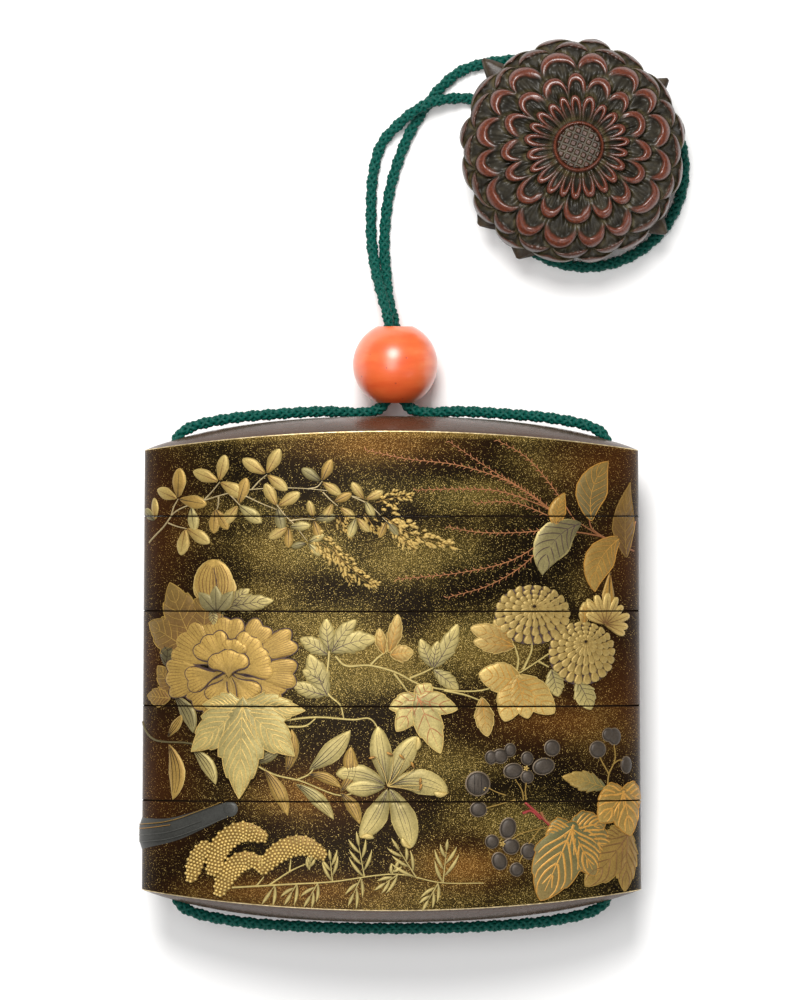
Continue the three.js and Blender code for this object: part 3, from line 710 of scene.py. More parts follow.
def channel_cutter(material):
    """Both cord channels as one solid, with their flared mouths."""
    mouth = SHOULDER_Y + CHANNEL_MOUTH_DEPTH
    profile = [(CHANNEL_REACH, CHANNEL_MOUTH_RADIUS), (mouth, CHANNEL_MOUTH_RADIUS), (SHOULDER_Y, CHANNEL_RADIUS)]
    profile = [(-y, radius) for y, radius in profile] + profile[::-1]
    skin = ring_faces(len(profile), CHANNEL_SIDES)
    last = (len(profile) - 1) * CHANNEL_SIDES
    skin += [tuple(range(CHANNEL_SIDES)), tuple(range(last + CHANNEL_SIDES - 1, last - 1, -1))]
    points, faces = [], []
    for side in (-1, 1):
        faces += shifted(skin, len(points))
        for y, radius in profile:
            for turn in np.arange(CHANNEL_SIDES) * TAU / CHANNEL_SIDES:
                points.append((side * CHANNEL_X + radius * math.cos(turn), y, CENTRE_Z + radius * math.sin(turn)))
    mesh = bpy.data.meshes.new("channels")
    mesh.from_pydata((np.array(points) * MM).tolist(), [], faces)
    mesh.materials.append(material)
    with editing(mesh) as shape:
        bmesh.ops.recalc_face_normals(shape, faces=shape.faces)
    return put_in_scene("channels", mesh)


def make_case():
    inside = nashiji_inside()
    materials = [lacquer_wall(), gold_line(), lacquer_dome(), inside, seam_shade()]
    cutter = channel_cutter(inside)
    for number in range(SEAM_COUNT + 1):
        node = "lid" if number == 0 else f"case_{number}"
        rings = case_rings(number)
        faces = ring_faces(len(rings), RING)
        kinds = np.repeat([kind for _, kind in rings[1:]], RING)
        piece = mesh_piece(node + "_body", np.concatenate([ring for ring, _ in rings]), faces, materials, kinds)
        weld_and_face_out(piece.data)
        cut_away(piece, cutter)
        sharp_by_angle(piece.data, CASE_SHARP_ANGLE)
        corners = np.empty(3 * len(piece.data.vertices))
        piece.data.vertices.foreach_get("co", corners)
        for label, values in zip(("Cloud", "Reddish"), cloud_shares(corners.reshape(-1, 3) / MM)):
            add_attribute(piece.data, label, values)
        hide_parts(node)
    bpy.data.objects.remove(cutter)


# ---- The raised picture ----

GOLD = (0.37, 0.235, 0.058)
GOLD_LIGHT = (0.52, 0.37, 0.12)
GOLD_DEEP = (0.23, 0.135, 0.032)
PALE = (0.42, 0.33, 0.117)
SILVER = (0.25, 0.207, 0.083)
SILVER_DEEP = (0.12, 0.098, 0.043)
BROWN = (0.17, 0.085, 0.028)
ORANGE = (0.46, 0.235, 0.045)
VIOLET = (0.075, 0.047, 0.042)
COPPER = (0.36, 0.15, 0.06)
BERRY = (0.042, 0.033, 0.025)
BERRY_RIM = (0.13, 0.095, 0.06)
BLUE = (0.045, 0.045, 0.04)
VINE = (0.095, 0.1, 0.042)
RED = (0.3, 0.045, 0.04)
DARK = (0.035, 0.022, 0.012)

# A place on the picture is how far round the case it lies from the middle of the front, and y. Over most of the front
# and the back that distance is x itself; round the narrow sides it is the length of the wall.
UNROLLED_FROM = 36.0
RELIEF = 0.6
SUNK = -0.12  # how deep the underside of a figure lies in the lacquer
LINE_SUNK = 0.06
PICTURE_LOWEST = 0.015
LIFT = 0.03  # of a vein over its leaf
BARB_ANGLE = math.degrees(0.85)
PICTURE_SHARP_ANGLE = 50


def around_table():
    turns = np.linspace(0, math.pi, 2000)
    x, z = HALF_WIDTH * np.sin(turns), HALF_DEPTH * np.cos(turns)
    step_x, step_z = np.abs(np.diff(x)), np.abs(np.diff(z))
    flat = (x[1:] + x[:-1]) / 2 < UNROLLED_FROM
    around = np.concatenate([[0], np.cumsum(np.where(flat, step_x, np.hypot(step_x, step_z)))])
    return around, turns


AROUND, AROUND_TURNS = around_table()


def on_case(places, height):
    """Points on the case's wall at these places, lifted by height along its normal."""
    places = np.asarray(places, float)
    around, y = places[:, 0], places[:, 1]
    turn = np.sign(around) * np.interp(np.abs(around), AROUND, AROUND_TURNS)
    half = half_width(y)
    normal = np.stack([np.sin(turn) / half, np.zeros_like(y), np.cos(turn) / HALF_DEPTH], 1)
    normal /= np.linalg.norm(normal, axis=1)[:, None]
    wall = np.stack([half * np.sin(turn), y, CENTRE_Z + HALF_DEPTH * np.cos(turn)], 1)
    lifted = wall + normal * np.broadcast_to(height, y.shape)[:, None]
    lifted[:, 2] = np.maximum(lifted[:, 2], PICTURE_LOWEST)
    return lifted


def towards(heading):
    turn = math.radians(heading)
    return np.array((math.cos(turn), math.sin(turn)))


def heading_of(direction):
    return math.degrees(math.atan2(direction[1], direction[0]))


def left_of(directions):
    return np.stack([-directions[..., 1], directions[..., 0]], -1)


def oval(middle, reach_x, reach_y, count):
    turns = np.linspace(0, TAU, count, endpoint=False)
    return np.asarray(middle, float) + np.stack([reach_x * np.cos(turns), reach_y * np.sin(turns)], 1)


class Picture:
    """Raised figures gathered into one mesh. Each is closed, with its underside sunk into the lacquer."""

    def __init__(self):
        self.points, self.faces, self.tints, self.count = [], [], [], 0

    def add(self, points, faces, tints):
        self.points.append(points)
        self.tints.append(np.asarray(tints, float))
        self.faces += shifted(faces, self.count)
        self.count += len(points)

    def grid(self, places, heights, tints):
        """A plate from a grid of places (rows, columns, 2): its top, its sides and a plain underside."""
        rows, columns = heights.shape
        top = on_case(places.reshape(-1, 2), heights.ravel())
        colours = np.broadcast_to(tints, (rows, columns, 3))
        faces = []
        for row in range(rows - 1):
            for a in range(row * columns, (row + 1) * columns - 1):
                faces.append((a, a + 1, a + columns + 1, a + columns))
        low = on_case(places[:, (0, -1)].reshape(-1, 2), SUNK)
        base = rows * columns
        for row in range(rows - 1):
            a, b = base + 2 * row, base + 2 * row + 1
            faces.append((a, a + 2, b + 2, b))
            faces.append((row * columns, (row + 1) * columns, a + 2, a))
            faces.append(((row + 1) * columns - 1, b, b + 2, (row + 2) * columns - 1))
        end = base + 2 * (rows - 1)
        faces.append((base, base + 1, *range(columns - 1, -1, -1)))
        faces.append((end + 1, end, *range((rows - 1) * columns, rows * columns)))
        tints = np.concatenate([colours.reshape(-1, 3), colours[:, (0, -1)].reshape(-1, 3)])
        self.add(np.concatenate([top, low]), faces, tints)

    def disc(self, outline, middle, scales, heights, tints):
        """A plate from rings of one outline about its middle. heights and tints have one entry for each ring and one
        for the middle."""
        count = len(outline)
        rings = [outline] + [middle + (outline - middle) * scale for scale in scales] + [[middle]]
        points = [on_case(ring, height) for ring, height in zip(rings, (SUNK, *heights))]
        colours = [np.tile(tint, (len(ring), 1)) for ring, tint in zip(rings, (tints[0], *tints))]
        last = count * len(scales)
        hub = last + count
        faces = ring_faces(len(scales) + 1, count) + [(last + k, last + (k + 1) % count, hub) for k in range(count)]
        faces.append(tuple(reversed(range(count))))
        self.add(np.concatenate(points), faces, np.concatenate(colours))

    def line(self, places, width, tint, over=0.0, ridge=0.1, taper=0.35, steps=6, curved=True):
        """A raised line through places. over is the height of what it lies on, a number or one for each place."""
        path = np.column_stack([np.asarray(places, float), np.broadcast_to(over, len(places))])
        if curved and len(places) > 2:
            path = through(path, steps)
        places, over = path[:, :2], path[:, 2]
        run = np.gradient(places, axis=0)
        run /= np.maximum(np.linalg.norm(run, axis=1), 1e-9)[:, None]
        narrowing = np.linspace(1, taper, len(path))
        half = left_of(run) * (width / 2 * narrowing)[:, None]
        crest = over + ridge * narrowing
        rings = np.stack([on_case(places + half, over - LINE_SUNK), on_case(places + half * 0.4, crest),
                          on_case(places - half * 0.4, crest), on_case(places - half, over - LINE_SUNK)], 1)
        faces = [(b, a, d, c) for a, b, c, d in ring_faces(len(path), 4)]
        last = 4 * (len(path) - 1)
        faces += [(0, 1, 2, 3), (last + 3, last + 2, last + 1, last)]
        self.add(rings.reshape(-1, 3), faces, np.tile(tint, (4 * len(path), 1)))


picture = Picture()
chance = random.Random(7)


def tone(tint, factor):
    return tuple(min(c * factor, 1) for c in tint)


def between(first, second, share):
    share = np.asarray(share, float)[..., None]
    return np.asarray(first) * (1 - share) + np.asarray(second) * share


class Leaf:
    """A leaf that grows from a root along its heading, with where() giving places on it: u runs from root to tip and
    v from one edge to the other, -1 to 1. A point above 1 is sharper and one below 1 is blunter."""

    STEPS = 40

    def __init__(self, x, y, heading, length, width, bend=0.0, belly=0.42, point=0.9, crown=0.5, over=0.0, teeth=0,
                 tooth=0.1):
        self.width, self.crown, self.over = width, crown, over
        self.belly, self.point, self.teeth, self.tooth = belly, point, teeth, tooth
        self.steps = np.linspace(0, 1, self.STEPS + 1)
        turn = np.radians(heading + bend * self.steps)
        self.ahead = np.stack([np.cos(turn), np.sin(turn)], 1)
        middle = (self.ahead[1:] + self.ahead[:-1]) / 2 * (length / self.STEPS)
        self.line = np.array((x, y)) + np.concatenate([[[0, 0]], np.cumsum(middle, axis=0)])

    def serration(self, u):
        return 1 + self.tooth * ((u * self.teeth) % 1 - 0.5)

    def half(self, u):
        peak, power = self.belly, 1.65 * self.point
        shape = (u / peak) ** (power * peak) * np.clip((1 - u) / (1 - peak), 0, 1) ** (power * (1 - peak))
        return self.width / 2 * (shape * self.serration(u) if self.teeth else shape)

    def stations(self, rows):
        """Places along it that follow its round ends, or each of its teeth."""
        if not self.teeth:
            return 0.5 - 0.5 * np.cos(np.linspace(0, math.pi, rows + 1))
        teeth = (np.arange(self.teeth)[:, None] + np.array((0.02, 0.35, 0.7, 0.97))) / self.teeth
        return np.array((0, *teeth.ravel()[:-1], 0.975, 1))

    def where(self, u, v):
        u, v = np.asarray(u, float), np.asarray(v, float)
        on_line, ahead = (np.stack([np.interp(u, self.steps, axis) for axis in values.T], -1)
                          for values in (self.line, self.ahead))
        return on_line + left_of(ahead) * (self.half(u) * v)[..., None]

    def height(self, u, v):
        u, v = np.asarray(u, float), np.asarray(v, float)
        if self.teeth:
            v = np.clip(v * self.serration(u) / (1 + self.tooth / 2), -1, 1)
        ends = np.clip(4 * u * (1 - u), 0, 1) ** 0.4
        crown = RELIEF * self.crown
        dome = crown * (1 - np.abs(v) ** 3.0) ** 0.55 * (0.35 + 0.65 * ends)
        return self.over + dome - 0.3 * crown * np.exp(-(v / 0.12) ** 2) * ends + 0.02

    def draw_line(self, us, vs, width, tint, ridge=0.04):
        vs = vs + 0 * us
        picture.line(self.where(us, vs), width, tint, self.height(us, vs) + LIFT, ridge, 0.4, 2)


LEAF_COLUMNS = np.array((-1, -0.86, -0.5, -0.12, 0.12, 0.5, 0.86, 1))
VEIN_RUN, VEIN_REACH = np.array((0, 0.07, 0.15, 0.2)), np.array((0.04, 0.35, 0.68, 0.88))


def draw_leaf(leaf, root, tip, edge=None, midrib=DARK, veins=0, vein=DARK, vein_width=0.14, along=0, outline=None,
              rows=12, midrib_width=0.26, slant=1.0):
    """A leaf tinted from root to tip. veins slants that many pairs off the midrib, along runs that many lines its
    whole length, and outline draws its edge."""
    u, v = np.meshgrid(leaf.stations(rows), LEAF_COLUMNS, indexing="ij")
    tints = between(root, tip, u)
    if edge is not None:
        tints = np.where((np.abs(v) > 0.9)[..., None], edge, tints)
    height = leaf.height(u, v)
    height[:, (0, -1)] = leaf.over + 0.04
    picture.grid(leaf.where(u, v), height, tints)
    if midrib is not None:
        leaf.draw_line(np.linspace(0.04, 0.88, 7), 0, midrib_width, midrib, 0.06)
    for place in range(veins):
        us = 0.1 + 0.72 * place / veins + slant * VEIN_RUN
        for side in (-1, 1):
            leaf.draw_line(us[us < 0.97], side * VEIN_REACH[us < 0.97], vein_width, vein)
    for place in range(along):
        v = (place + 1) / (along + 1) * 1.7 - 0.85
        if abs(v) >= 0.05 or midrib is None:
            leaf.draw_line(np.linspace(0.08, 0.86, 6), v, vein_width, vein)
    if outline is not None:
        for side in (-1, 1):
            edge_line = leaf.where(u[:, 0], side * (0.98 + 0 * u[:, 0]))
            picture.line(edge_line, 0.2, outline, leaf.over + 0.1, 0.1, 1, 1, curved=False)


LEAF_KINDS = {
    "gold": dict(root=GOLD_DEEP, tip=GOLD, edge=GOLD_LIGHT, midrib=DARK),
    "light": dict(root=tone(GOLD, 0.8), tip=(0.42, 0.315, 0.105), edge=GOLD_LIGHT, midrib=BROWN),
    "pale": dict(root=SILVER, tip=PALE, edge=tone(PALE, 1.2), midrib=DARK),
    "silver": dict(root=SILVER_DEEP, tip=SILVER, edge=PALE, midrib=DARK),
}


def draw_fan_petal(x, y, heading, length, spread, lobes, over, root, tip, rim, lines):
    """A ruffled petal that opens from x, y, with a dark rim and fine lines running in from its margin."""
    ruffle, crown = 0.07, 0.3
    vs = np.linspace(-1, 1, 8 * lobes + 1)
    u, v = np.meshgrid((0, 0.25, 0.5, 0.7, 0.84, 0.93, 0.98, 1.0), vs, indexing="ij")

    def where(u, v):
        turn = np.radians(heading + spread * v * (0.4 + 0.6 * np.minimum(u * 1.6, 1)))
        scallop = ruffle * (np.abs(np.cos(lobes * math.pi * (v + 1) / 2 + math.pi / 2)) - 1) - 0.16 * v**6
        reach = length * u * (1 + scallop * u**2)
        return np.stack([x + reach * np.cos(turn), y + reach * np.sin(turn)], -1)

    def height(u, v):
        edge = np.clip(np.minimum((1 - u) / 0.2, (1 - np.abs(v)) / 0.16), 0, 1)
        cup = 0.5 + 0.5 * smoothstep(0.15, 0.9, u)
        wave = 0.035 * np.cos(lobes * TAU * (v + 1) / 2 + math.pi) * u
        return over + (crown * cup + wave) * np.sqrt(1 - (1 - edge) ** 2) + 0.02

    picture.grid(where(u, v), height(u, v), between(root, tip, smoothstep(0.1, 0.8, u)))
    picture.line(where(1 + 0 * vs, vs), 0.25, rim, over + 0.06, 0.07, 1, 1, curved=False)
    for side in (-1, 1):
        us = np.linspace(0.2, 1, 6)
        picture.line(where(us, side + 0 * us), 0.32, rim, over + 0.06, 0.07, 1, 2)
    for place, v in enumerate(np.linspace(-0.88, 0.88, lines)):
        us = np.array((0.95, 0.82, 0.7 - 0.12 * (place % 2)))
        picture.line(where(us, v + 0 * us), 0.12, BROWN, height(us, v + 0 * us) + 0.01, 0.035, 0.3, 2)


def draw_lobed(x, y, lobes, root, tip, outline, vein, over=0.0, teeth=4, veins=5, tooth=0.14, point=0.85,
               vein_width=0.24, slant=1.0, midrib_width=0.3):
    """A lobed leaf that grows from x, y. Each lobe is its heading, its length and its width."""
    for place, (heading, length, width) in enumerate(lobes):
        behind = 0.1 * length
        leaf = Leaf(*(x, y) - behind * towards(heading), heading, length + behind, width, 0, 0.4, point,
                    over=over + 0.05 * place, teeth=teeth, tooth=tooth)
        draw_leaf(leaf, root, tip, outline=outline, midrib=vein, veins=veins, vein=vein, vein_width=vein_width,
                  slant=slant, midrib_width=midrib_width)


def draw_berry(x, y, radius, tall, tilt, seams):
    middle, lean = np.array((x, y)), towards(tilt)
    across, up = oval((0, 0), radius, tall * radius, 20).T
    outline = np.stack([x + across * lean[0] - up * lean[1], y + across * lean[1] + up * lean[0]], 1)
    picture.disc(middle + (outline - middle) * 1.07, middle, (1.0, 0.97), (0.05, 0.08, 0.08), [BERRY_RIM] * 3)
    picture.disc(outline, middle, (0.95, 0.85, 0.66, 0.4), (0.1, 0.26, 0.36, 0.42, 0.44),
                 [tone(BERRY, factor) for factor in (1, 1, 1.25, 1.4, 1.4)])
    for off in np.arange(1, seams + 1) / (seams + 1) * 1.5 - 0.75:
        at = [(x + radius * off * 0.75, y + radius * k) for k in (-0.75, 0, 0.75)]
        picture.line(at, 0.2, tone(BERRY, 0.4), (0.3, 0.44, 0.3), 0.03, 1, 2)


def draw_grain(x, y, heading, length, width, root, tip, crown, over):
    leaf = Leaf(x, y, heading, length, width, 0, 0.5, 0.6)
    u, v = np.meshgrid((0, 0.12, 0.35, 0.65, 0.88, 1.0), (-1, -0.7, 0, 0.7, 1), indexing="ij")
    ends = 0.35 + 0.65 * np.clip(4 * u * (1 - u), 0, 1) ** 0.5
    picture.grid(leaf.where(u, v), over + RELIEF * crown * np.sqrt(1 - 0.97 * np.abs(v) ** 2.5) * ends,
                 between(root, tip, u))


def draw_raceme(path, grains, size):
    """Grains crowded loosely along both sides of a stem, smaller towards its tip."""
    stem = through(path, 12)
    picture.line(path, 0.26, GOLD_DEEP, 0, 0.16, 0.3)
    run = np.gradient(stem, axis=0)
    for number in range(grains):
        share = min((number + chance.random()) / grains, 1)
        at, ahead = (np.array([np.interp(share * (len(stem) - 1), range(len(stem)), axis) for axis in values.T])
                     for values in (stem, run))
        heading = heading_of(ahead)
        out = (1.5 - 1.2 * share) * size * (2 * chance.random() - 1)
        grow = size * (0.8 - 0.25 * share) * (0.85 + 0.35 * chance.random())
        lean = heading + math.copysign(25, out) + 60 * (chance.random() - 0.5)
        draw_grain(*at + out * towards(heading + 90), lean, grow, 0.56 * grow, GOLD,
                   tone(GOLD_LIGHT, 0.95 + 0.3 * chance.random()), 0.38, 0.12 * chance.random())


def draw_barbed(path):
    """A thin stem with short barbs on both sides."""
    picture.line(path, 0.26, COPPER, 0, 0.12, 0.45)
    stem = spaced(through(path, 20), 0.62)
    for number, (at, ahead) in enumerate(zip(stem, np.gradient(stem, axis=0))):
        if number >= 0.18 * len(stem):
            barb = towards(heading_of(ahead) + (BARB_ANGLE if number % 2 else -BARB_ANGLE))
            picture.line([at, at + (0.78 - 0.25 * number / len(stem)) * barb], 0.24, COPPER, 0, 0.12, 0.5)


def draw_pompon(at, reach, heart, rings=5):
    """A round chrysanthemum: drop-shaped petals that crowd outwards from its heart."""
    picture.disc(oval(at, 0.93 * reach[0], 0.93 * reach[1], 48), np.array(at), (1.0, 0.9, 0.5),
                 (0.02, 0.1, 0.13, 0.14),
                 [VIOLET] * 4)
    for ring in range(rings):
        share = (ring + 0.7) / rings
        count = int(round(9 + 14 * share))
        span = TAU * share * sum(reach) / 2 / count
        for place in range(count):
            turn = TAU * (place + 0.5 * (ring % 2)) / count
            out = np.array(at) + np.multiply(reach, (math.cos(turn), math.sin(turn))) - heart
            inner = max(share - 1.4 / rings, 0.04)
            ahead = out * (share - inner)
            leaf = Leaf(*heart + out * inner, heading_of(ahead), np.linalg.norm(ahead), span * 0.9, 0, 0.66, 0.55,
                        0.3,
                        0.22 + 0.25 * (1 - share**2))
            draw_leaf(leaf, tone(GOLD, 0.6), tone(GOLD_LIGHT, 0.69 + 0.11 * chance.random()), midrib=None, rows=6)


def draw_millet(path, width):
    """A drooping millet head: round grains in close rows on a raised body."""
    spine = spaced(through(path, 14), 0.55)
    side = left_of(unit(np.gradient(spine, axis=0)))
    half = width / 2 * np.sin(math.pi * np.linspace(0.04, 0.96, len(spine))) ** 0.4
    vs = np.array((-1, -0.7, -0.3, 0.3, 0.7, 1))
    body = 0.05 + 0.33 * np.sqrt(1 - 0.97 * vs**2) * np.ones((len(spine), 1))
    picture.grid(spine[:, None] + side[:, None] * (0.94 * half[:, None] * vs)[..., None], body, GOLD_DEEP)
    for row, (middle, across, reach) in enumerate(zip(spine, side, half)):
        count = max(int(round(2 * reach / 0.58)), 1)
        for v in (np.arange(count) + 0.5 + 0.25 * (-1) ** row) / count * 2 - 1:
            at = middle + across * (reach * v)
            radius = 0.28 + 0.03 * chance.random()
            over = 0.1 + 0.36 * math.sqrt(max(1 - v * v, 0))
            light = tone(GOLD_LIGHT, 1.0 + 0.35 * chance.random())
            picture.disc(oval(at, radius, radius, 7), at, (0.9, 0.55), (over + 0.02, over + 0.18, over + 0.24),
                         [tone(GOLD, 0.9), light, light])


def draw_tuft(x, y, heading, count, length):
    """Narrow slips on both sides of a short twig, and one at its tip."""
    root, step = np.array((x, y)), 0.16 * length * towards(heading)
    picture.line([root, root + step * (count - 1)], 0.32, PALE, 0, 0.16, 0.6)
    for place in range(count):
        side = 0 if place == count - 1 else 1 - 2 * (place % 2)
        reach = length * (0.68 - 0.06 * place) * (0.85 + 0.3 * chance.random())
        leaf = Leaf(*root + step * place, heading + side * (34 + 10 * chance.random()), reach, 0.62, -side * 26, 0.4,
                    1.0, 0.34, 0.05)
        draw_leaf(leaf, tone(PALE, 0.65), tone(PALE, 1.1), midrib=None, rows=8)


def draw_spray():
    """Upper left: a branch with leaflets in threes and two hanging clusters of grains."""
    stems = [
        ((-41.5, 21.0), (-38.0, 23.6), (-35.5, 26.2), (-31.0, 27.9), (-25.5, 29.4), (-18, 30), (-10.5, 29.5),
         (-4.5, 28.2)),
        ((-25.5, 29.4), (-21.8, 27.6), (-18.8, 26.4)), ((-31, 27.9), (-29.5, 29.5), (-28.3, 31)),
        ((-23.0, 29.8), (-21.6, 31.3), (-20.5, 32.2)), ((-13.8, 29.8), (-12.2, 30.2), (-11.4, 31.1)),
        ((-36.5, 25.2), (-35.9, 27), (-35.2, 28.2)), ((-37, 24.2), (-35.2, 23.6), (-33.8, 23.3)),
        ((-19.5, 28), (-17.5, 25.5), (-16, 24), (-13.8, 21.2)), ((-16.8, 24.6), (-14.5, 24.9), (-12.5, 24.8)),
        ((-11.3, 29.3), (-10, 28), (-8.8, 27)), ((-6.5, 28.6), (-3.8, 27.3), (-0.5, 24.2)),
        ((-28.5, 28.6), (-28.6, 27), (-28.9, 26.2)), ((-26.8, 29.1), (-25.4, 27.6), (-24.8, 27)),
    ]
    for stem in stems:
        picture.line(stem, 0.34, (0.42, 0.33, 0.17), 0, 0.16, 0.5)
    nodes = [  # place, then the headings of its leaflets
        (-35.2, 28.2, 4.5, (88, 160, -12)), (-28.4, 31.0, 4.6, (78, 158, -28)), (-20.6, 32.2, 4.4, (62, 148, -38)),
        (-11.5, 31.0, 3.8, (66, 146, -34)), (-33.9, 23.4, 4.4, (-100, -32)), (-33.0, 27.0, 3.8, (-82,)),
        (-29.0, 26.6, 3.9, (-95, -60)), (-25.2, 27.2, 4.3, (-128, -38, 75)), (-18.8, 26.9, 3.9, (-78, 32, 118)),
        (-16.9, 23.6, 3.3, (-90, 4, -150)), (-12.8, 24.8, 3.2, (104, 8, -72)), (-9.6, 27.6, 3.4, (26, -115)),
        (-4.4, 28.0, 3.2, (128, 24, -62)), (-13.8, 21.0, 2.6, (-165, -45, 25)), (-5.8, 25.2, 3.2, (-108, -48)),
        (-8.6, 26.9, 3.0, (-36,)), (-0.8, 24.6, 2.9, (-112, -52)), (-39.8, 24.6, 3.4, (95, 150)),
    ]
    for x, y, size, headings in nodes:
        for heading in headings:
            kind = chance.choice(("light", "light", "gold", "pale", "silver"))
            length = size * (0.92 + 0.16 * chance.random())
            draw_leaf(Leaf(*(x, y) + 0.25 * towards(heading), heading, length, 0.49 * length,
                           8 * (chance.random() - 0.5), 0.5, 0.7), **LEAF_KINDS[kind])
    draw_raceme([(-13, 21.6), (-10.5, 20.2), (-7.5, 17.6), (-4.4, 15.0), (-2.4, 14.0)], 75, 1.25)
    draw_raceme([(-9.6, 20.4), (-8.0, 17.2), (-6.6, 14.4)], 35, 1.0)
    draw_raceme([(-2.5, 27.6), (0.6, 28.4), (3.4, 28.6)], 40, 1.1)
    draw_raceme([(-1.2, 25.2), (2.5, 22.8), (6.2, 21.4), (10.4, 20.4)], 75, 1.35)
    draw_raceme([(0.6, 23.6), (2.2, 21.2), (3.6, 19.8)], 30, 1.05)
    draw_raceme([(-8.6, 25.3), (-8.0, 23.7), (-6.6, 21.9)], 25, 0.9)
    draw_raceme([(-4.4, 25.8), (-3.2, 24.0), (-2.2, 22.9)], 25, 0.9)


def draw_copper():
    """Upper right: thin copper stems that fan to the left, and ovate leaves where they meet."""
    for path in (
        ((30.3, 23.0), (24, 28.2), (16, 33.2), (9.5, 37.6)), ((30.5, 24.2), (26.5, 30.2), (22.0, 35.2), (17.4, 37.8)),
        ((29.8, 23.2), (20.5, 30.4), (11.5, 33.6), (2.2, 34.8), (-4.2, 36.2)),
        ((27.8, 24.6), (20.0, 27.6), (13.8, 27.5)),
        ((27.0, 26.2), (18.0, 29.4), (10.0, 29.8), (4.0, 29.6)),
        ((28.0, 23.4), (21.5, 22.7), (14.5, 22.7), (9.2, 23.6)),
        ((27.2, 22.8), (20.0, 18.2), (12.0, 16.2), (0.8, 15.0)),
        ((26.6, 22.6), (22.0, 17.6), (16.0, 14.0), (9.0, 12.0)),
    ):
        draw_barbed(path)
    for stem in (((41.5, 19.6), (36.5, 21.0), (31, 24.2)), ((34.8, 22.0), (31.4, 22.6), (27.2, 23.0)),
                 ((40.5, 20.2), (42.2, 24.5)), ((36.5, 21), (33, 23.4), (32.6, 25.4))):
        picture.line(stem, 0.4, tone(COPPER, 0.75), 0, 0.18, 0.6)
    veined = dict(veins=6, vein=ORANGE, outline=ORANGE, midrib=ORANGE)
    draw_leaf(Leaf(33.0, 24.6, 104, 10.6, 5.4, -60, 0.42, 1.05), SILVER_DEEP, tone(GOLD, 0.6), **veined)
    draw_leaf(Leaf(27.2, 23.2, 98, 6.2, 2.9, -42, 0.42, 1.1, 0.45), GOLD_DEEP, tone(GOLD, 0.8), **veined)
    draw_leaf(Leaf(31.3, 24.2, -166, 11.6, 6.2, 78, 0.42, 1.05, 0.62), SILVER_DEEP, tone(SILVER, 0.95), edge=PALE,
              veins=6, vein=VIOLET, midrib=VIOLET, vein_width=0.22)
    draw_leaf(Leaf(38.2, 21.8, -156, 10.8, 5.2, 76, 0.42, 1.05), GOLD_DEEP, tone(GOLD, 0.85), **veined)
    draw_leaf(Leaf(39.5, 18.6, 102, 12.5, 5.2, -34, 0.36, 1.2, 0.45), tone(BROWN, 0.7), tone(GOLD_DEEP, 0.8),
              veins=6, vein=GOLD_DEEP, outline=GOLD_DEEP, midrib=GOLD_DEEP)
    draw_leaf(Leaf(36.0, 16.2, -96, 7.5, 2.2, 10, 0.5, 1, 0.4), GOLD_DEEP, GOLD, along=3, vein=ORANGE)


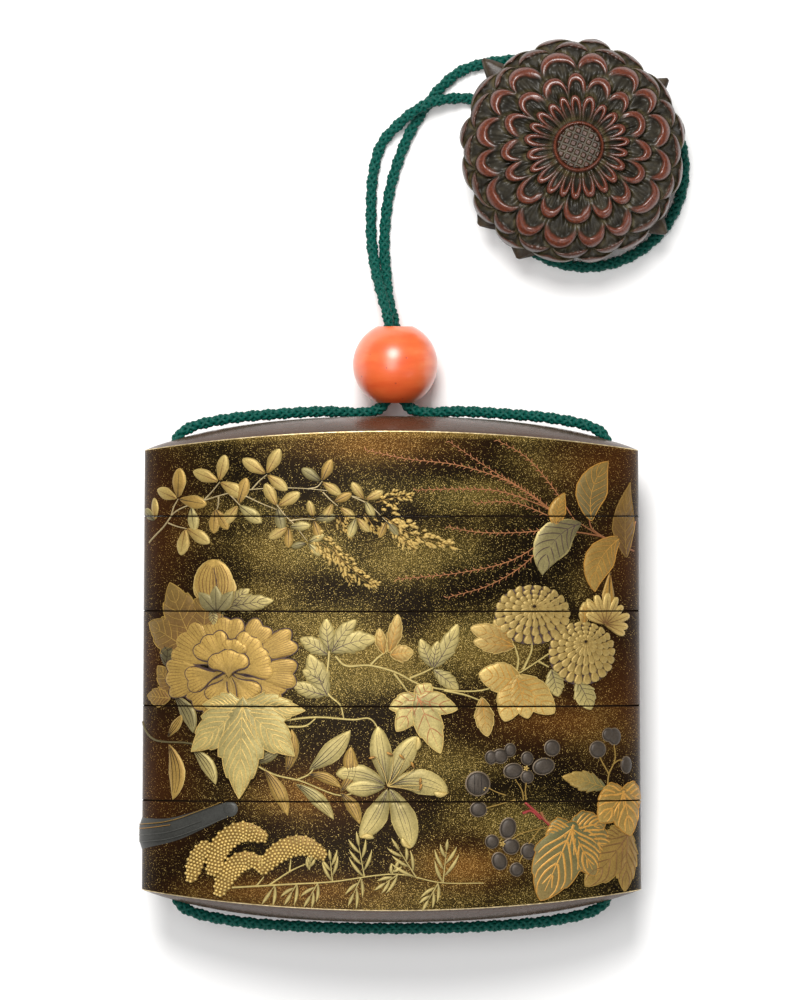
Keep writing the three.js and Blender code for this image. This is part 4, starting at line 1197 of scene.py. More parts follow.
def draw_peony():
    """Left: a peony in full flower with its bud, brown leaves behind it and a large pale leaf in front."""
    brown = dict(veins=5, vein=GOLD, outline=GOLD, midrib=GOLD, vein_width=0.15)
    for x, y, heading, length, width, bend in (
        (-32.6, 4.6, 116, 10.6, 6.6, -8), (-31.0, 5.2, 84, 8.6, 5.6, 0), (-33.0, 3.4, 148, 9.4, 6.2, 8),
        (-35.2, -3.4, 138, 5.6, 4.0, -10), (-36.4, -4.6, 176, 5.2, 3.2, 0),
    ):
        draw_leaf(Leaf(x, y, heading, length, width, bend, 0.4, 0.95, 0.4, teeth=4, tooth=0.2), BROWN,
                  tone(GOLD, 0.5), **brown)
    for path in (((-30.2, 12.0), (-30.4, 9.4), (-29.5, 6)), ((-27.2, 10.6), (-28.0, 8.6), (-28.4, 6)),
                 ((-44, -8.6), (-40.0, -11.4), (-33.0, -12.0), (-30.6, -12.9)),
                 ((-38.2, -1.6), (-36.2, -3.2), (-33.5, -3.6))):
        picture.line(path, 0.45, SILVER_DEEP, 0, 0.2, 0.7)
    # the bud: two halves with curved stripes, and its sheath
    draw_leaf(Leaf(-29.0, 9.4, 91, 8.5, 7.4, 0, 0.42, 0.9), GOLD_DEEP, tone(GOLD, 0.9), edge=GOLD_LIGHT, midrib=None)
    for heading, lean, width in ((62, 58, 4.2), (118, -56, 5.0)):
        draw_leaf(Leaf(-29.0, 9.8, heading, 8.8, width, lean, 0.5, 0.85, 0.5, 0.2), tone(GOLD, 0.8), GOLD,
                  edge=GOLD_LIGHT, midrib=None, along=6, vein=BROWN, vein_width=0.2)
    picture.line([(-29.2, 10.4), (-28.5, 13.4), (-29.1, 16.8)], 0.3, VIOLET, 0.5, 0.06, 0.6)
    for heading in (52, 92, 132):
        draw_leaf(Leaf(-28.6, 9.6, heading, 4.4, 2.6, 0, 0.4, 0.9, 0.5, 0.45), SILVER_DEEP, SILVER, edge=PALE, rows=8)
    for x, y, heading, length, width in ((-27.6, 10.2, 14, 8.4, 3.0), (-27.0, 10.4, 44, 4.8, 2.4),
                                         (-29.6, 10.4, -75, 3.2, 1.8)):
        draw_leaf(Leaf(x, y, heading, length, width, -10, 0.45, 0.9, teeth=5, tooth=0.2), SILVER_DEEP, PALE,
                  edge=PALE,
                  veins=5, vein=VIOLET)
    draw_leaf(Leaf(-37.2, 0.6, 82, 4.6, 3.4, 0, 0.4, 0.8, 0.4), tone(SILVER_DEEP, 0.6), SILVER_DEEP, veins=3)
    # the flower, from its outer petals inwards: root, heading, length, spread, lobes, height
    heart = np.array((-26.6, 0.4))
    picture.disc(oval(heart, 8.2, 5.6, 32), heart, (1, 0.9), [0.02, 0.1, 0.12], [VIOLET] * 3)
    for x, y, heading, length, spread, lobes, over in (
        (-27.4, 0.4, 146, 9.4, 31, 3, 0.06), (-26.9, 1.2, 98, 7.7, 36, 3, 0.0), (-26.0, 1.0, 52, 8.6, 20, 2, 0.1),
        (-26.0, 0.8, 24, 11.2, 15, 2, 0.13),
        (-27.4, -0.2, 188, 10.0, 24, 3, 0.14), (-26.2, 0.0, 357, 10.9, 17, 2, 0.16),
        (-26.8, -0.2, 228, 8.2, 27, 3, 0.04),
        (-26.0, -0.4, 328, 9.4, 26, 3, 0.08), (-26.6, -0.2, 274, 6.8, 34, 3, 0.1),
        (-26.2, 0.2, 46, 6.8, 36, 3, 0.26), (-26.9, 0.2, 124, 6.6, 36, 3, 0.28), (-27.6, -0.3, 194, 6.2, 26, 2, 0.3),
        (-25.4, -0.4, 12, 6.2, 25, 2, 0.28), (-26.2, -0.8, 316, 5.6, 30, 2, 0.28),
        (-26.8, -0.8, 242, 5.0, 32, 2, 0.26),
        (-26.2, 1.8, 74, 3.5, 50, 3, 0.4), (-26.5, -1.2, 92, 4.7, 60, 3, 0.52),
    ):
        inner = over > 0.2
        draw_fan_petal(x, y, heading, length, spread, lobes, over, tone(GOLD, 0.62), tone(GOLD, 1.0 + 0.14 * inner),
                       VIOLET,
                       9 if inner else 13)
    # the large pale leaf in front
    draw_lobed(-24.2, -5.8, [(178, 6.6, 4.4), (356, 10.2, 5.0), (222, 11.2, 7.0), (316, 11.8, 7.2), (268, 15.2, 7.8)],
               tone(SILVER, 1.05), (0.4, 0.325, 0.115), GOLD_LIGHT, GOLD_LIGHT, 0.5, 5, veins=7, tooth=0.2, point=1.1,
               vein_width=0.34, slant=1.5)
    # willow-like leaves under it
    for x, y, heading, length, width, bend, kind in (
        (-36.6, -12.2, -60, 9.4, 2.9, -50, "gold"), (-32.6, -12.8, -38, 7.2, 2.4, -38, "pale"),
        (-35.6, -4.2, -40, 7.0, 2.6, -46, "silver"),
        (-36.8, -11.0, 52, 4.6, 1.6, 8, "gold"), (-22.6, -15.2, 20, 5.4, 1.9, 22, "silver"),
        (-17.2, -16.6, 66, 7.2, 2.3, 34, "gold"),
        (-13.4, -16.2, 34, 9.4, 3.4, 20, "pale"), (-20.8, -16.2, -50, 8.6, 2.5, -26, "gold"),
        (-15.6, -18.6, -26, 8.6, 2.4, -34, "pale"),
        (-13.6, -17.0, 2, 6.0, 1.8, -48, "gold"), (-8.4, -20.0, -36, 6.2, 2.2, -44, "gold"),
        (-8.4, -19.8, 40, 6.6, 2.4, 60, "gold"),
    ):
        draw_leaf(Leaf(x, y, heading, length, width, bend, 0.45, 0.95), **LEAF_KINDS[kind], along=3, vein_width=0.15)
    for path in (((-23.0, -15.0), (-19.2, -17.0), (-15.0, -18.0), (-8.4, -20.4), (-5.4, -19.8)),
                 ((-15.5, -17.9), (-13.4, -16.9), (-12.6, -15.8))):
        picture.line(path, 0.42, PALE, 0, 0.2, 0.7)


def draw_middle():
    """Middle: pale branches with toothed leaves, and the lily below them."""
    for path in (((-18.2, -8.2), (-12.2, -7.6), (-6.2, -8.0), (-3.4, -7.9), (-1.2, -11.6)),
                 ((-17.4, -9.2), (-14, -9), (-12.4, -7.8)),
                 ((-9.2, 2.4), (-7.6, 0.9), (-3.6, 0.9), (0.6, -0.2), (5.2, -2.4), (14.8, -3.2), (20.2, -0.8),
                  (26.2, 3.0)),
                 ((-10.2, 3.2), (-10.4, -3.6), (-8.4, -5.6), (-7.8, -7.8)), ((-3.4, 1.0), (-2.2, 2.2), (-0.6, 3.4)),
                 ((3.0, -1.2), (5.4, -0.2), (7.0, 0.6)), ((20.4, -0.6), (20.8, 1.8), (20.2, 4.2)),
                 ((21.6, 0.2), (23.0, 3.4), (23.0, 5)),
                 ((8.6, -3.2), (12.2, -4.0), (14.6, -4.9)), ((24.0, 1.6), (25.8, 0.6)),
                 ((0.4, -0.4), (1.8, -2.2), (2.8, -3.6))):
        picture.line(path, 0.5, tone(PALE, 1.1), 0, 0.24, 0.6)
    silver = dict(veins=4, vein=SILVER_DEEP, edge=tone(PALE, 1.1), midrib=VIOLET)
    for x, y, heading, length, width, bend in (
        (-10.2, 3.2, 100, 5.4, 2.8, -10), (-10.0, 3.0, 34, 8.0, 3.6, -36), (-9.8, 3.2, 62, 6.6, 2.8, -20),
        (-10.4, 2.6, 142, 5.4, 2.8, 16),
        (-10.4, -4.2, 118, 7.6, 3.8, -8), (-10.8, -4.0, 168, 6.0, 2.6, -16), (-10.6, -2.2, 148, 4.6, 2.6, 4),
        (6.8, 0.4, 52, 8.4, 3.0, 18), (6.6, 0.6, 112, 5.0, 2.4, 0), (6.9, 0.2, -38, 5.2, 2.6, 0),
        (6.8, 0.6, 84, 4.4, 2.0, -10),
        (26.2, 0.2, -76, 4.6, 3.2, 0), (30.4, -1.6, -58, 5.4, 3.6, -14),
    ):
        draw_leaf(Leaf(x, y, heading, length, width, bend, 0.45, 0.8, teeth=4, tooth=0.16), SILVER, tone(PALE, 1.05),
                  **silver)
    gold = dict(veins=4, vein=tone(ORANGE, 0.8), outline=GOLD_LIGHT, midrib=ORANGE)
    for x, y, heading, length, width, bend in (
        (-1.2, 2.8, 108, 4.2, 1.9, -14), (-0.4, 3.0, 70, 6.4, 2.4, 14), (-0.2, 2.6, 8, 3.8, 2.8, 0),
        (20.0, 4.2, 150, 7.6, 3.4, 16), (20.2, 4.0, 176, 6.8, 3.0, -6), (19.6, 5.2, 128, 4.2, 1.8, 10),
        (14.8, -4.4, -84, 6.4, 3.2, 4), (33.6, 8.4, 112, 3.6, 1.8, 0), (31.6, 7.4, 88, 3.8, 1.6, 0),
    ):
        draw_leaf(Leaf(x, y, heading, length, width, bend, 0.45, 0.8, teeth=4, tooth=0.14), GOLD_DEEP,
                  tone(GOLD_LIGHT, 0.85), **gold)
    # leaf with folded lobes in the middle
    draw_lobed(4.4, -4.6, [(198, 5.0, 3.6), (50, 3.2, 3.4), (236, 6.4, 4.2), (345, 6.6, 4.0), (292, 9.6, 4.8)],
               SILVER, tone(PALE, 1.2), GOLD_LIGHT, COPPER, 0.1, 3, 3)
    # gold leaf under the pompons
    draw_lobed(20.6, -1.6, [(170, 6.4, 5.2), (252, 7.0, 5.0), (318, 8.0, 5.4), (285, 6.4, 4.4)], tone(GOLD, 0.75),
               GOLD_LIGHT, GOLD_LIGHT, ORANGE, 0.2, 3, 5, 0.08, 0.7)
    draw_pompon((23.1, 9.1), (6.6, 5.2), (23.4, 10.6))
    draw_pompon((31.2, 2.7), (5.8, 5.5), (31.8, 4.8))
    for heading, length in ((128, 4.6), (106, 5.0), (84, 5.2), (62, 5.0), (40, 4.6), (16, 5.2), (-6, 4.6), (-24, 4.2),
                            (150, 3.6)):
        draw_leaf(Leaf(35.0, 7.6, heading, length, 1.4, 0, 0.6, 0.5, 0.5, 0.15), GOLD_DEEP, GOLD_LIGHT, midrib=BROWN,
                  rows=8)


def draw_lily():
    x, y = -0.6, -18.9
    petals = [(104, 9.4, 3.6, -10), (66, 9.0, 3.6, -14), (148, 8.4, 3.4, 40), (186, 6.4, 2.9, -8),
              (22, 9.8, 4.2, -60),
              (-104, 9.2, 3.8, -30), (-58, 10.4, 4.2, -24)]
    for place, (heading, length, width, bend) in enumerate(petals):
        leaf = Leaf(*(x, y) + 0.5 * towards(heading), heading, length, width, bend, 0.5, 0.75, 0.6, 0.1 * (place % 2))
        draw_leaf(leaf, tone(SILVER, 0.8), tone(PALE, 1.1), edge=tone(PALE, 1.3), midrib=VIOLET, along=2,
                  vein=SILVER_DEEP, vein_width=0.13, midrib_width=0.26)
        tip, before = leaf.where(1.0, 0.0), leaf.where(0.9, 0.0)
        if place in (1, 4, 5, 6):
            curl = Leaf(*tip, heading_of(tip - before) - (118 if place != 5 else 200), 2.4, 1.1, -60, 0.5, 0.8, 0.7,
                        0.2)
            draw_leaf(curl, GOLD_LIGHT, PALE, midrib=None, rows=8)
    for heading in (58, 80, 34, -8, 112, 2):
        end = (x, y) + 5.2 * towards(heading)
        picture.line([(x, y), ((x + end[0]) / 2 + 0.3, (y + end[1]) / 2), end], 0.18, GOLD_LIGHT, 0.75, 0.1, 0.7)
        draw_grain(*end, heading + 80, 1.2, 0.45, BROWN, ORANGE, 0.2, 0.75)
    draw_leaf(Leaf(-6.6, -17.6, 98, 5.2, 2.4, -16, 0.45, 0.9), GOLD_DEEP, GOLD, along=3, vein=DARK)


def draw_berries():
    """Lower right: dark berries on gold stems, with vine leaves."""
    for path in (((21.6, -21.2), (21.3, -19.6), (20.2, -17.8)), ((22.0, -21.2), (21.9, -19.4), (22.2, -17.6)),
                 ((18.6, -20.4), (17.2, -19.9), (15.8, -19.2)), ((20.2, -21.2), (18, -21.8), (15.4, -22.5)),
                 ((25.4, -14.4), (24.9, -15.8)),
                 ((35.4, -20.6), (35.6, -17.2), (36.8, -14.6), (36.6, -12.2)),
                 ((35.6, -17.0), (34.6, -15.2), (34.0, -14.0)),
                 ((36.2, -15.6), (37.6, -14.8), (38.6, -14.9)), ((18.4, -28.6), (21.0, -26.8), (25.8, -25.6)),
                 ((20.8, -31.4), (22.4, -28.4), (24.2, -26.0)),
                 ((35.6, -20.0), (37.2, -24.2), (37.4, -27.4))):
        picture.line(path, 0.3, tone(GOLD, 0.85), 0, 0.16, 0.7)
    for path, tint in ((((21.8, -21.6), (23.6, -23.2), (26.2, -25.8)), RED), (((37.4, -25.4), (37.5, -27.2)), RED),
                       (((21.4, -23.4), (22.8, -23.0), (24.4, -24.4)), RED),
                       (((24.4, -23.2), (25.2, -24.6), (27.0, -25.6)), tone(COPPER, 0.8))):
        picture.line(path, 0.55, tint, 0, 0.25, 0.8)
    berries = [
        (16.3, -14.2, 1.0, 1.1, 0), (19.4, -13.0, 0.95, 1.15, -10), (17.8, -14.0, 1.25, 0.95, 0),
        (19.9, -16.4, 1.55, 0.78, 8), (22.2, -14.4, 1.0, 1.1, 10),
        (24.9, -15.7, 1.75, 0.75, 14), (26.3, -12.7, 1.25, 1.05, 0), (22.2, -17.4, 1.05, 1.0, 0),
        (14.1, -18.5, 1.95, 1.0, 0), (14.2, -22.7, 1.35, 0.9, 0),
        (19.0, -25.8, 1.3, 1.3, -14), (16.4, -28.0, 1.1, 1.0, 0), (19.5, -28.8, 1.35, 0.95, -10),
        (17.6, -31.2, 1.2, 1.2, 20), (22.4, -29.6, 1.3, 1.0, 0),
        (20.4, -32.6, 1.1, 1.0, 0), (33.8, -13.0, 1.3, 1.05, 0), (35.6, -10.6, 1.0, 1.1, 0),
        (36.7, -10.9, 1.25, 1.1, 0), (39.2, -15.6, 1.2, 1.15, 0),
    ]
    for place, (x, y, radius, tall, tilt) in enumerate(berries):
        draw_berry(x, y, radius, tall, tilt, 3 if place == 8 else 0)
    for x, y in ((22.0, -16.0), (18.1, -28.4), (15.0, -19.2)):
        for place in range(5):
            draw_grain(x, y, 72 * place, 0.5, 0.3, GOLD, GOLD_LIGHT, 0.3, 0.2)
    ribs = dict(teeth=4, tooth=0.1, vein_width=0.5, slant=2.0, midrib_width=0.6)
    green = tone(VINE, 1.1)
    draw_lobed(39.2, -27.0, [(196, 5.2, 4.6), (266, 9.4, 5.6), (228, 11.4, 6.6)], GOLD_DEEP, tone(GOLD, 0.75),
               tone(GOLD, 0.9), BROWN, 0.0, 5, 5, tooth=0.2, vein_width=0.26, slant=1.4)
    draw_lobed(29.4, -26.0, [(8, 5.6, 5.4), (330, 7.6, 6.4), (196, 4.4, 5.0), (296, 8.6, 6.0), (246, 12.8, 8.6)],
               green,
               (0.215, 0.15, 0.048), tone(ORANGE, 0.9), ORANGE, 0.05, veins=5, point=0.8, **ribs)
    draw_lobed(38.2, -20.2, [(196, 4.6, 4.6), (345, 5.0, 5.0), (228, 6.4, 5.6), (282, 7.2, 6.6)], tone(GOLD, 0.6),
               tone(GOLD, 0.9),
               ORANGE, tone(ORANGE, 1.1), 0.1, veins=3, point=0.8, **ribs)
    draw_leaf(Leaf(35.2, -19.4, 158, 7.6, 3.4, 14, 0.42, 0.9, teeth=5, tooth=0.2), tone(VINE, 1.2), tone(GOLD, 0.95),
              edge=GOLD, veins=5,
              vein=GOLD, midrib=GOLD)


def draw_foot():
    """Lower left: a cut branch, millet heads and feathery stems along the bottom."""
    path = np.array(((-45.5, -27.0), (-41.0, -26.8), (-36.0, -26.2), (-31.0, -24.4), (-26.6, -22.6)))
    picture.line(path, 6.0, BLUE, 0.0, 0.5, 0.42, 8)
    picture.line(path + (0, 1.5), 0.18, tone(GOLD_DEEP, 1.3), 0.42, 0.12, 0.6)
    picture.line(path[:3] + (0, 0.8), 0.16, ORANGE, 0.5, 0.1, 0.6)
    picture.line(path + (0, -1.4), 0.16, tone(BLUE, 2.2), 0.42, 0.1, 0.6)
    picture.line(path[:4] + (0, -0.3), 0.3, tone(BLUE, 1.6), 0.5, 0.06, 0.6)
    end = np.array((-26.4, -22.7))
    picture.disc(oval(end, 1.3, 1.3, 24), end, (1.0, 0.8, 0.5), [0.05, 0.26, 0.3, 0.3],
                 [tone(BLUE, 1.5), tone(BLUE, 1.2), BLUE, BLUE])
    draw_millet([(-30.0, -28.2), (-31.6, -30.6), (-32.8, -34.6)], 2.8)
    draw_millet([(-20.4, -27.4), (-24.4, -26.4), (-27.8, -28.8), (-29.4, -33.4)], 3.6)
    draw_millet([(-21.0, -31.4), (-24.2, -31.2), (-26.6, -33.2), (-28.2, -36.8)], 3.4)
    draw_millet([(-10.8, -30.4), (-14.6, -28.6), (-18.4, -29.8), (-21.4, -33.0)], 3.5)
    for path in (((-26.0, -35.6), (-16.7, -35.0), (-10.0, -34.6), (0.9, -33.3), (8.0, -34.7), (15.0, -34.8)),
                 ((-20.0, -35.2), (-16.4, -32.8), (-13.4, -31.4)), ((-16.6, -32.9), (-16.4, -30.9)),
                 ((-22, -35.3), (-20.8, -33.8))):
        picture.line(path, 0.4, tone(PALE, 1.1), 0, 0.18, 0.5)
    for x, y, heading, count, length in (
        (-19.0, -35.2, 236, 2, 4.6), (-15.4, -34.9, 240, 3, 4.8), (-12.0, -34.8, 240, 4, 4.8),
        (-13.4, -32.6, 80, 4, 2.8),
        (-9.6, -34.5, 96, 5, 5.2), (-4.4, -33.8, 100, 6, 6.2), (-5.0, -33.9, 246, 4, 5.6), (1.0, -33.4, 214, 4, 4.8),
        (4.0, -33.8, 122, 6, 6.2), (8.4, -34.7, 84, 6, 6.4), (7.6, -34.8, 240, 5, 4.8), (0.0, -33.4, 62, 3, 3.0),
    ):
        draw_tuft(x, y, heading, count, length)


def draw_back():
    """Plainer stems and leaves round the narrow sides and on the outer parts of the back."""
    for side in (-1, 1):
        for low in (-30.0, -8.0, 14.0):
            start = 50.0 + 4 * (low > -20)
            path = [(side * start, low), (side * (start + 7), low + 5), (side * (start + 14), low + 8),
                    (side * (start + 20), low + 9)]
            picture.line(path, 0.4, PALE, 0, 0.2, 0.5)
            stem = through(path, 8)
            for place in range(2, len(stem) - 1, 3):
                heading = heading_of(stem[place + 1] - stem[place])
                for turn in (-1, 1):
                    kind = chance.choice(("gold", "pale", "silver"))
                    draw_leaf(Leaf(*stem[place], heading + 50 * turn, 4.6, 2.0, 0, 0.5, 0.8, 0.4), **LEAF_KINDS[kind],
                              rows=10)


def split_at_seams(piece, material):
    """The picture as one piece for each section of the case, cut through at the seams and closed there."""
    edges = [(SHOULDER_Y + 10) * MM] + [seam_y(seam) * MM for seam in range(SEAM_COUNT)] + [-(SHOULDER_Y + 10) * MM]
    margin = (SEAM_GAP / 2 + 0.8 * SEAM_BEVEL) * MM
    for number in range(SEAM_COUNT + 1):
        shape = bmesh.new()
        shape.from_mesh(piece.data)
        for height, way in ((edges[number] - margin, 1), (edges[number + 1] + margin, -1)):
            cut = bmesh.ops.bisect_plane(shape, geom=shape.verts[:] + shape.edges[:] + shape.faces[:], dist=1e-7,
                                         plane_co=(0, height, 0), plane_no=(0, way, 0), clear_outer=True)
            rim = [item for item in cut["geom_cut"] if isinstance(item, bmesh.types.BMEdge)]
            bmesh.ops.holes_fill(shape, edges=rim, sides=0)
        mesh = bpy.data.meshes.new(f"picture_{number}")
        shape.to_mesh(mesh)
        shape.free()
        mesh.materials.append(material)
        part = put_in_scene("lid_picture" if number == 0 else f"case_{number}_picture", mesh)
        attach(part, "root")
    bpy.data.objects.remove(piece)


def raised_gold():
    """Gold and coloured powders on raised lacquer: each figure brings its own tint."""
    s = Shader("raised_makie")
    tint = s.attribute("Tint", "Color")
    powder = s.noise(4.0, 2.0)
    cloudy = s.noise(0.5, 2.0)
    shade = s.math("MULTIPLY", s.span(powder, 0.3, 0.7, 0.8, 1.15), s.span(cloudy, 0.3, 0.7, 0.88, 1.1))
    scaled = s.node("ShaderNodeVectorMath", {0: tint, 1: shade}, operation="MULTIPLY").outputs[0]
    s.set(Base_Color=scaled, Metallic=0.3, Roughness=0.45, Specular_IOR_Level=0.25, Coat_Weight=0.03,
          Coat_Roughness=0.3)
    s.bump(powder, 0.03, 0.6)
    return s.material


def make_picture():
    for draw in (draw_spray, draw_peony, draw_middle, draw_lily, draw_berries, draw_foot, draw_back, draw_copper):
        draw()
    tints = np.concatenate(picture.tints)
    tints = np.column_stack([tints, np.ones(len(tints))])
    piece = mesh_piece("picture", np.concatenate(picture.points), picture.faces, [], tints={"Tint": tints})
    sharp_by_angle(piece.data, PICTURE_SHARP_ANGLE)
    split_at_seams(piece, raised_gold())


# ---- The bead ----

BEAD_SIDES, BEAD_STEPS, BORE_STEPS = 112, 61, 6
BEAD_SHARP_ANGLE = 40


def make_bead():
    mouth_turn = math.asin(BEAD_MOUTH_RADIUS / BEAD_RADIUS)
    mouth_y = math.sqrt(BEAD_RADIUS**2 - BEAD_MOUTH_RADIUS**2)
    profile = []
    for turn in np.linspace(mouth_turn, math.pi - mouth_turn, BEAD_STEPS):
        profile.append((BEAD_RADIUS * math.sin(turn), -BEAD_RADIUS * math.cos(turn)))
    for share in np.linspace(0, 1, BORE_STEPS + 1)[1:]:
        bell = math.sin(share * math.pi / 2)
        radius = BEAD_MOUTH_RADIUS + (BEAD_BORE_RADIUS - BEAD_MOUTH_RADIUS) * bell
        profile.append((radius, mouth_y - BEAD_MOUTH_DEPTH * share))
    profile += [(radius, -y) for radius, y in profile[-BORE_STEPS:]][::-1]
    turns = np.arange(BEAD_SIDES) * TAU / BEAD_SIDES
    points = [(r * math.cos(t), y, r * math.sin(t)) for r, y in profile for t in turns]
    faces = ring_faces(len(profile), BEAD_SIDES)
    # the last ring joins the first
    last = (len(profile) - 1) * BEAD_SIDES
    for k in range(BEAD_SIDES):
        after = (k + 1) % BEAD_SIDES
        faces.append((last + k, last + after, after, k))
    piece = mesh_piece("bead_ball", np.array(points) + BEAD, faces, [coral()])
    weld_and_face_out(piece.data)
    sharp_by_angle(piece.data, BEAD_SHARP_ANGLE)
    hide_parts("bead")
    return piece


# ---- The netsuke ----

def crown_z(radius):
    share = np.clip(1 - (np.asarray(radius, float) / NETSUKE_RADIUS) ** CROWN_POWER, 0, 1)
    return NETSUKE_RIM_Z + (NETSUKE_CROWN_Z - NETSUKE_RIM_Z) * np.sqrt(share)


def back_z(radius):
    share = np.maximum(radius - NETSUKE_FLAT_RADIUS, 0) / (NETSUKE_RADIUS - NETSUKE_FLAT_RADIUS)
    return NETSUKE_RIM_Z * share**BACK_POWER


PETAL_TIERS = (  # tip radius, notch depth, depth of the dished middle, width of the polished rim
    (8.7, 1.9, 0.5, 0.95),
    (12.5, 2.6, 0.85, 1.7),
    (16.4, 2.8, 0.95, 2.05),
    (17.9, 1.9, 0.5, 1.1),
    (18.7, 1.3, 0.35, 0.9),
)
FINE_TIERS = 3  # the petals that are seen best: more rows, and polished rims
PETAL_COLUMNS = 26
PETALS_MORE = 6  # in the first tier
DISC_EDGE = 4.5
NUB_FIELD, NUB_PITCH, NUB_TURN = 3.45, 1.15, 0.4
DISC_RIM = (  # radius, height over the crown, how rubbed
    (3.55, -0.75, 0.2), (3.7, -0.3, 0.8), (3.85, -0.05, 1), (4.0, -0.1, 1), (4.12, -0.35, 0.8), (4.3, -0.95, 0.1),
)
BACK_RADII = (NETSUKE_RADIUS, 18.2, 17, 15.5, 14, 12, 10, 8.5, 7.5, NETSUKE_FLAT_RADIUS, 4, 2, 0.0)
BACK_GROOVE = 0.12
NETSUKE_SHARP_ANGLE = 60
TUNNEL_SIDES = 28


def petals_in(tier):
    return PETALS + PETALS_MORE * (tier == 0)


def beside(turn, tier):
    """How far a direction lies from the middle of its petal, 0 to 1. They aren't quite even, as carved by hand."""
    uneven = 0.09 * np.sin(3 * turn + 2.1 * tier) + 0.06 * np.sin(7 * turn + tier)
    place = turn * petals_in(tier) / TAU + (tier % 2) / 2 + uneven
    return np.abs(2 * (place - np.floor(place)) - 1)


def petal_edge(turn, tier):
    if tier < 0:
        return np.full_like(turn, DISC_EDGE)
    tip, notch = PETAL_TIERS[tier][:2]
    side = 0.97 * beside(turn, tier)
    tip = tip + 0.14 * np.sin(5 * turn + 1.7 * tier) + 0.1 * np.sin(11 * turn + 3 * tier)
    return tip - notch * (1 - np.sqrt(1 - side**2)) / (1 - math.sqrt(1 - 0.97**2))


def netsuke_ring(turns, radius, z):
    shift = np.maximum(1 - radius / NETSUKE_RADIUS, 0)
    x = radius * np.cos(turns) + FLOWER_SHIFT[0] * shift
    y = radius * np.sin(turns) + FLOWER_SHIFT[1] * shift
    return np.stack([x, y, z], 1)


def netsuke_rings(turns):
    """Rings from the disc's middle over the petals to the back's middle, with how rubbed and how deep they are."""
    rings = []
    zero = np.zeros_like(turns)

    def put(radius, z, rubbed, deep):
        radius = np.broadcast_to(radius, turns.shape).astype(float)
        rings.append((netsuke_ring(turns, radius, z + zero), rubbed + zero, deep + zero))

    for radius in np.linspace(0.0, NUB_FIELD, 32):  # a field of small square nubs
        x, y = radius * np.cos(turns + NUB_TURN), radius * np.sin(turns + NUB_TURN)
        across, up = (smoothstep(-0.7, -0.1, np.cos(place * TAU / NUB_PITCH)) for place in (x, y))
        nub = across * up
        put(radius, NETSUKE_CROWN_Z - 0.7 + 0.4 * nub, 0.1 + 0.3 * nub, 0.4 * (1 - nub))
    for radius, over, rubbed in DISC_RIM:
        put(radius, NETSUKE_CROWN_Z + over, rubbed, 0.0)
    for tier, (tip, notch, dish, rim) in enumerate(PETAL_TIERS):
        root = petal_edge(turns, tier - 1) + 0.06
        edge = petal_edge(turns, tier)
        rows = 18 if tier < FINE_TIERS else 12
        for row in range(rows + 1):
            share = (row / rows) ** 0.8
            radius = root + (edge - root) * share
            lateral = (1 - beside(turns, tier)) * math.pi * radius / petals_in(tier)
            outward = edge - radius
            inside = -np.log(np.exp(-3 * lateral) + np.exp(-3 * outward)) / 3
            near_tip = smoothstep(0.25, 0.85, (radius - root) / (edge - root))
            if tier == 0:
                near_tip = 0.25 + 0.75 * near_tip
            bank = np.clip(inside / (rim * (0.3 + 0.7 * near_tip)), 0, None)
            roll = np.where(bank < 1, np.sqrt(np.clip(1 - (2 * np.clip(bank, 0, 1) - 1) ** 2, 0, 1)), 0)
            hollow = smoothstep(0.7, 1.5, bank)
            rays = 0.6 * np.cos(turns * PETALS * 5 + tier) + 0.4 * np.cos(turns * PETALS * 3.5 + 2 * tier + 1.3)
            z = crown_z(radius) - 0.5 + 0.55 * roll * (0.25 + 0.75 * near_tip)
            z = z - dish * hollow * (0.45 + 0.55 * near_tip)
            z = z + 0.24 * rays * hollow - 0.5 * smoothstep(1.0, 0.0, radius - root)
            polished = np.clip(1.3 * roll * near_tip, 0, 1) * (1 if tier < FINE_TIERS else 0.5)
            crevice = smoothstep(0.3, 0.0, bank) * (1 - near_tip) + smoothstep(0.9, 0.0, radius - root)
            put(radius, z, polished, np.clip(crevice, 0, 1))
        put(petal_edge(turns, tier) + 0.03, crown_z(tip) - 1.35, 0.1, 1.0)
    outline = petal_edge(turns, len(PETAL_TIERS) - 1)
    for radius in BACK_RADII:
        groove = BACK_GROOVE * np.cos(turns * PETALS) * (radius > NETSUKE_FLAT_RADIUS)
        scalloped = radius * (1 + (outline / NETSUKE_RADIUS - 1) * (radius / NETSUKE_RADIUS) ** 4)
        put(scalloped, np.maximum(back_z(radius) + groove * (radius < 18.5), 0), 0.4, 0.0)
    return rings


LEAF_TIPS = (  # angle, reach, width
    (134, 21.3, 4.6), (37, 19.9, 4.4), (-41, 20.7, 5.6), (-142, 19.7, 8.5), (-117, 19.9, 8.0),
)
LEAF_ROOT = 11.5
LEAF_DROOP = 1.1
LEAF_SECTION = (  # across, as a share of half the width, and lift
    (-1, 0), (-0.5, 0.55), (0, 0.75), (0.5, 0.55), (1, 0), (0.5, -0.9), (0, -1.1), (-0.5, -0.9),
)


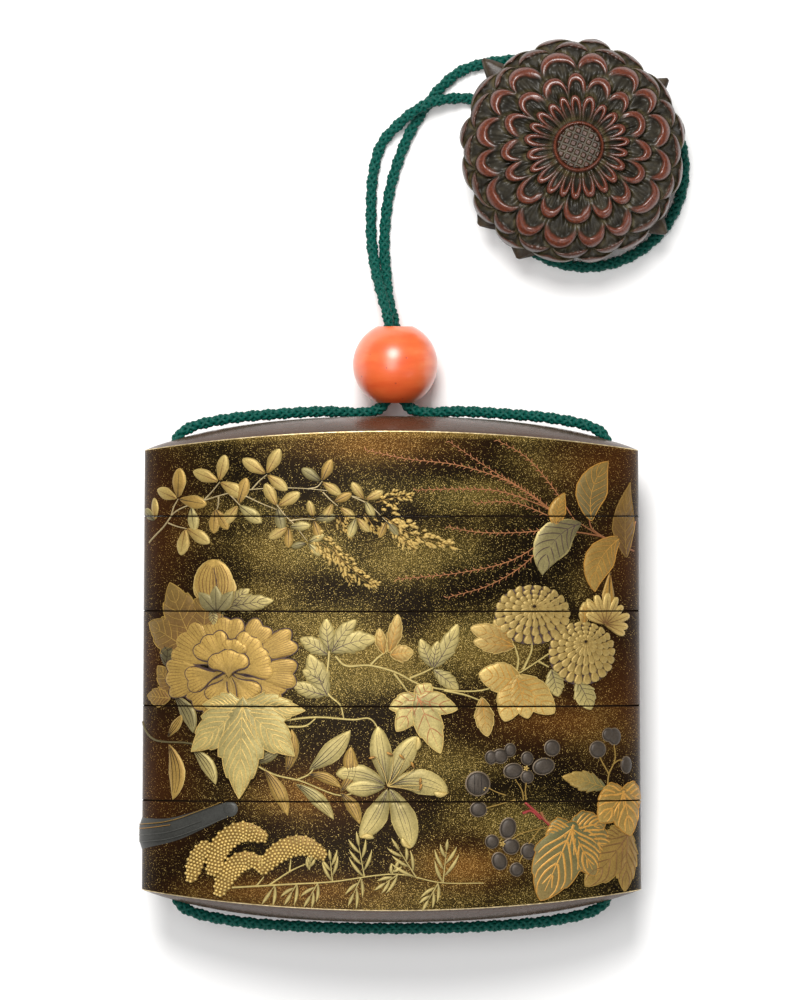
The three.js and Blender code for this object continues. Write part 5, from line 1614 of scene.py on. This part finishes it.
def make_leaf_tips(wood):
    """Pointed leaves that show from behind the flower."""
    steps = np.linspace(0, 1, 9)
    sides, last = len(LEAF_SECTION), len(LEAF_SECTION) * (len(steps) - 1)
    skin = ring_faces(len(steps), sides) + [tuple(reversed(range(sides))), tuple(range(last, last + sides))]
    points, faces = [], []
    for angle, reach, width in LEAF_TIPS:
        ahead = towards(angle)
        faces += shifted(skin, len(points))
        for share in steps:
            radius = LEAF_ROOT + (reach - LEAF_ROOT) * share
            half = 1.25 * width / 2 * (1 - share**2.6) * (1 - 0.15 * share) + 0.3
            for across, lift in LEAF_SECTION:
                x, y = ahead * radius + left_of(ahead) * half * across
                points.append((x, y, NETSUKE_RIM_Z - LEAF_DROOP * share + lift * (1 - 0.5 * share)))
    tints = {"Rubbed": np.full(len(points), 0.12), "Deep": np.full(len(points), 0.25)}
    piece = mesh_piece("netsuke_leaves", np.array(points) + NETSUKE, faces, [wood], tints=tints)
    weld_and_face_out(piece.data)
    return piece


def tunnel_cutter():
    """Both cord tunnels of the netsuke as one solid."""
    mesh = bpy.data.meshes.new("tunnels")
    with editing(mesh) as shape:
        for angle in TUNNEL_ANGLES:
            a, b = np.array(tunnel_point(angle, 10)), np.array(tunnel_point(angle, 6))
            outer, inner = a + (a - b) * 0.9, np.array(tunnel_point(angle, 0))
            ahead = Vector(inner - outer)
            turned = ahead.to_track_quat("Z", "Y").to_matrix().to_4x4()
            middle = Vector((inner + outer) / 2)
            bmesh.ops.create_cone(shape, cap_ends=True, segments=TUNNEL_SIDES, radius1=TUNNEL_RADIUS,
                                  radius2=TUNNEL_RADIUS, depth=ahead.length, matrix=Matrix.Translation(middle) @ turned)
        bmesh.ops.scale(shape, vec=(MM, MM, MM), verts=shape.verts)
    return put_in_scene("tunnels", mesh)


def make_netsuke():
    count = PETALS * PETAL_COLUMNS
    turns = np.arange(count) * TAU / count
    rings = netsuke_rings(turns)
    points = np.concatenate([ring for ring, _, _ in rings]) + NETSUKE
    tints = {"Rubbed": np.concatenate([r for _, r, _ in rings]), "Deep": np.concatenate([d for _, _, d in rings])}
    wood = carved_wood()
    piece = mesh_piece("netsuke_flower", points, ring_faces(len(rings), count), [wood], tints=tints)
    weld_and_face_out(piece.data)
    cutter = tunnel_cutter()
    cut_away(piece, cutter)
    bpy.data.objects.remove(cutter)
    sharp_by_angle(piece.data, NETSUKE_SHARP_ANGLE)
    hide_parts("netsuke")
    return piece, make_leaf_tips(wood)


studio()
cord, route, cord_line = make_cord()
make_case()
make_picture()
bead = make_bead()
netsuke, netsuke_leaves = make_netsuke()
